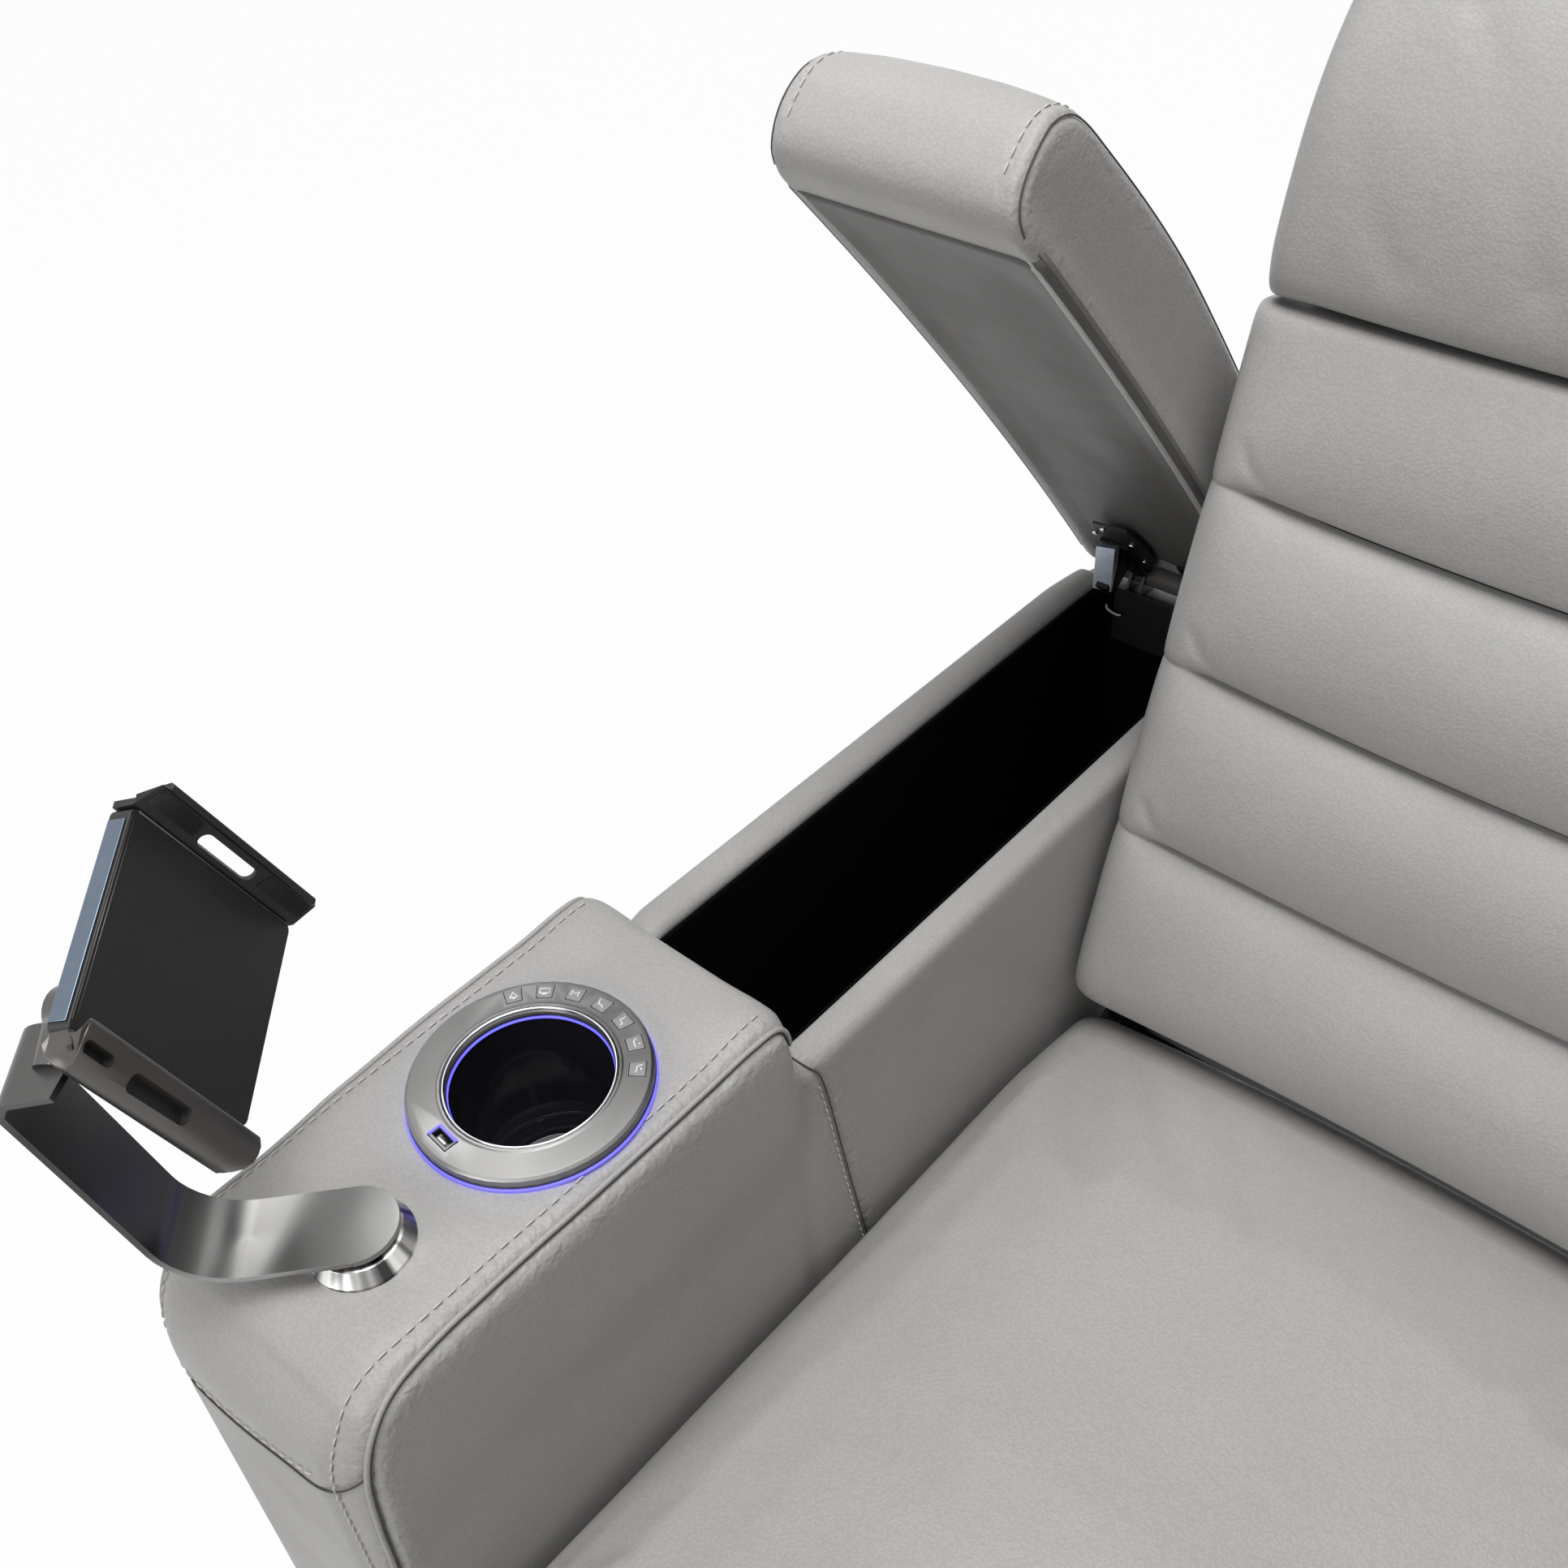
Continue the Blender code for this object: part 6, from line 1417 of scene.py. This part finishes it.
def flare_reach(_, o):
    """How far the upper jaw reaches along: wider than the plate once it flares, with round corners."""
    far = min(7.9, max(0.0, (o - 1) / 0.82 - 7))
    return 60.0 + 2.5 * min(1.0, max(0.0, o / 4)) - (8 - math.sqrt(64 - far ** 2))


def on_flare(a, s, lift=0.0):
    """Places on the flared inner face: along, from its root to its edge, and off the face."""
    return on_cradle(a, 52.3 + 0.57 * s - 0.82 * lift, 1.0 + 0.82 * s + 0.57 * lift)


sections = [jaw_section(UPPER_JAW, a, flare_reach, on_cradle) for a in (-60, -40, 0, 40, 60)]
upper_jaw = bar("cradle_flared_jaw", sections, matte_abs, 0.5)
slot_shape = obround((-18.5, 6.1), (13.8, 6.1), 3.8)
slot = bar("slot_cutter", [[on_flare(a, s, lift) for a, s in slot_shape] for lift in (-9, 9)], matte_abs)
finish_piece(bored(upper_jaw, [slot]), "upper_jaw", slot="black_plastic")
tongue = [[on_cradle(a, u, o) for a, u in oblong((-48.0, -10.5), (48.0, 53))] for o in (-6.75, -4.25)]
finish_piece(bar("cradle_jaw_tongue", tongue, matte_abs, 0.3), "upper_jaw", ["cradle_upper_jaw"],
             "black_plastic")


def ribbed_pad(name, start, end):
    """Rubber pad with ribs along the jaw and rounded corners."""
    base = [[on_flare(a, s, lift) for s, lift in oblong((4.0, -0.3), (12.2, 0.5))] for a in (start, end)]
    pieces = [bar(name + "_base", base, rubber)]
    for number, s in enumerate(np.linspace(4.6, 11.8, 7)):
        draw = 3.0 * ease((s - 8.5) / 4)
        rib = [on_flare(a, s, 0.55) for a in (start + draw, (start + end) / 2, end - draw)]
        pieces.append(tube(f"{name}_{number}", rib, 0.42, rubber))
    bm = bmesh.new()
    for piece in pieces:
        bm.from_mesh(piece.data)
        bpy.data.objects.remove(piece)
    return piece_of(name, bm, rubber)


finish_piece(ribbed_pad("jaw_pad_1", -57.0, -26.5), "upper_jaw", ["jaw_grip_1"], "rubber")
finish_piece(ribbed_pad("jaw_pad_2", 23.5, 57.5), "upper_jaw", ["jaw_grip_2"], "rubber")
print("phone holder ready")

# %% [markdown]
# The keys carry white pictograms in a faint painted glow: a lamp, a screen, a heat mark and four chair
# outlines. The charging port has a lit edge and a bright tongue.

# %% Icons and charging port
ICONS = {7: [[(-1.6, -1.2), (1.6, -1.2), (0, 1.6), (-1.6, -1.2)], [(-0.6, -1.9), (0.6, -1.9)]],
    6: [[(-2, -1.2), (2, -1.2), (2, 1.2), (-2, 1.2), (-2, -1.2)], [(-1, -1.9), (1, -1.9)]],
    5: [[(-1.5, -1.2), (-1.5, 1.3), (0, -0.2), (1.5, 1.3), (1.5, -1.2)]],
    4: [[(-1.9, 1.6), (-1.0, -0.6), (1.0, -0.6), (1.7, -1.7)]],
    3: [[(-1.2, 1.9), (-0.9, -0.7), (1.1, -0.7), (1.2, -1.9)]],
    2: [[(-2.0, 0.9), (-0.9, -0.5), (1.0, -0.5), (2.1, -0.1)], [(0.9, 1.0), (0.9, 1.9)]],
    1: [[(-1.7, 1.6), (-0.8, -0.5), (1.0, -0.5), (1.9, -0.9)], [(-0.2, 1.2), (0.9, 1.2)]]}
ICON_SCALE = 1.35
for number, strokes in ICONS.items():
    low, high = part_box(f"key_{number}")
    middle = (low + high) / 2
    outwards = Vector((middle.x - ring_middle.x, middle.y - ring_middle.y, 0)).normalized()
    across = UP.cross(outwards)
    top = Vector((middle.x, middle.y, high.z + 0.00005))
    for order, stroke in enumerate(strokes):
        path = [top - across * (x * ICON_SCALE / 1000) + outwards * (y * ICON_SCALE / 1000)
            for x, y in stroke]
        mark = tube(f"key_{number}_mark_{order}", path, 0.27, icon_print_glow, 6)
        finish_piece(mark, f"key_{number}", slot="key_grey")
port_turn = math.radians(-94.0)
port_out = Vector((math.cos(port_turn), math.sin(port_turn), 0))
port_side = Vector((-math.sin(port_turn), math.cos(port_turn), 0))


def in_port(side, out, height):
    return ring_middle + (port_out * (54.5 + out) + port_side * side + UP * height) / 1000


lit_corner = [in_port(7.2, -3.6, 6.2), in_port(-7.2, -3.6, 6.2), in_port(-7.2, 3.6, 6.2)]
finish_piece(tube("port_light_edge", lit_corner, 0.9, glow), "chair_base", slot="light_ring")
contact = [[in_port(s, o, z) for o, z in oblong((0.2, 3.4), (1.4, 4.4))] for s in (-3.0, 3.0)]
finish_piece(bar("port_tongue", contact, port_nickel), "chair_base", slot="chrome")
print("icons and port ready")

# %% [markdown]
# The open lid shows its hinge: a polished arm plate, screws in a black base plate, and a wire loop. A
# covered roll along the hinge line closes the gap between the lid and the rim.

# %% Hinge details
def on_lid(x, y, z):
    """A place on the open right lid, from its place with the lid closed."""
    return lid_turn @ at(x, y, z)


arm_plate = [at(-46.1, 603.4, 2.3), at(-30.1, 603.4, 5.3), at(-31.1, 604.4, -33.7), at(-47.1, 604.4, -35.7)]
base_outline = [(-52, 578), (-48, 566), (-17, 560), (-8, 590), (-10, 615), (-20, 640), (-50, 640)]
base_plate = [on_lid(x, y, -54.0) for x, y in base_outline]
below = (lid_turn.to_3x3() @ -UP) * 0.0022
for name, corners, thickness, finish, slot in (
        ("right_hinge_arm_plate", arm_plate, Vector((-0.003, 0.012, -0.004)), hinge_plate_reflection_painted, "chrome"),
        ("right_hinge_base_plate", base_plate, below, painted_steel, "black_steel")):
    plate = bar(name, [corners, [p + thickness for p in corners]], finish, 0.3)
    finish_piece(plate, "right_lid", slot=slot)
for number, (x, y) in enumerate(((-52, 586), (-40, 571), (-21, 588), (-20, 619))):
    shank = [on_lid(x, y, z) for z in (-57.6, -56.7, -55.8)]
    finish_piece(tube(f"right_hinge_screw_{number}", shank, 2.1, chrome, 12), "right_lid", slot="chrome")
wire = along([at(-57, 645, -77), at(-56.5, 645, -80), at(-53, 645, -82), at(-46, 645, -83),
    at(-43, 645, -81.5)], 1.0)
finish_piece(tube("right_hinge_wire", wire, 0.9, thread), "chair_base", slot="chrome")
# The roll takes the darker leather: painted shade along the hinge line.
tail_roll = tube("right_lid_tail_roll", [at(x, 667, -51) for x in (-58, 0, 52)], 9.0, painted_shade_leather, 16)
finish_piece(tail_roll, "right_lid", slot="fabric_panel")
finish_piece(copy_mirrored(tail_roll, "left_lid_tail_roll"), "left_lid", slot="fabric_panel")
print("hinge details ready")

# %% [markdown]
# Rigid pieces: each gets its finish. The cup ring is a turned metal face, its tone painted in fans of highlight
# and shade, with a polished inner lip.
# Below it stand a dark gap and a thin lit line, inside at the mouth of the cup and outside on the leather.

# %% Rigid pieces
# Each ring's radius, height above the ring's face and thickness in millimetres.
CUP_RINGS = [("ring_lip", 45.3, 5.35, 0.75, chrome, "satin_nickel", []),
    ("cup_gap", 44.9, 1.4, 0.9, matte_abs, "black_plastic", []),
    ("cup_light_line", 44.3, -1.0, 0.75, glow, "light_ring", []),
    ("ring_gap", 64.6, -0.2, 0.8, matte_abs, "black_plastic", []),
    ("outer_light_line", 65.2, -1.9, 0.95, glow, "light_ring", ["cup_light_ring"])]
for side in ("right", "left"):
    dressed(f"{side}_storage_liner", felt, 0.6)
    dressed(f"{side}_lid_hinge", hinge_steel, 0.35)
    dressed(f"{side}_lid_bracket", painted_steel, 0.3)
    dressed(f"{side}_cup_ring", ring_fan_painted_metal[side], 0.25)
    dressed(f"{side}_cup", gloss_abs, 0.3)
    middle = ring_middle if side == "right" else mirrored(ring_middle)
    for word, radius, height, thick, finish, slot, replaced in CUP_RINGS:
        ring = loop(f"{side}_{word}", middle, radius, height, thick, finish)
        finish_piece(ring, "chair_base", [f"{side}_{node}" for node in replaced], slot)
    dressed(f"{side}_side_plate", painted_steel, 0.5)
    dressed(f"{side}_stay_link", painted_steel, 0.4)
    dressed(f"{side}_swing_link", painted_steel, 0.4)
    dressed(f"foot_front_{side}", matte_abs, 0.6)
    dressed(f"foot_rear_{side}", matte_abs, 0.6)
for node, finish, bevel in (("usb_socket", gloss_abs, 0.15), ("holder_disc", disc_painted_glints, 0.25),
        ("holder_strap", strap_reflection_painted, 0.5), ("base_frame", painted_steel, 0.8), ("seat_box", plywood, 0.8),
        ("seat_webbing", webbing, 0.2), ("recline_motor", matte_abs, 0.6),
        ("footrest_motor", matte_abs, 0.6), ("back_frame", painted_steel, 0.8),
        ("headrest_plate", painted_steel, 0.3), ("recline_rod", chrome, 0.3),
        ("footrest_drive_links", painted_steel, 0.4), ("footrest_scissor_links", painted_steel, 0.4),
        ("footrest_board", lining, 0.8)):
    dressed(node, finish, bevel)
for number in range(1, 8):
    dressed(f"key_{number}", key_cap, 0.15)
print("rigid pieces dressed")

# %% Colour view
bpy.context.scene.view_settings.view_transform = "Standard"
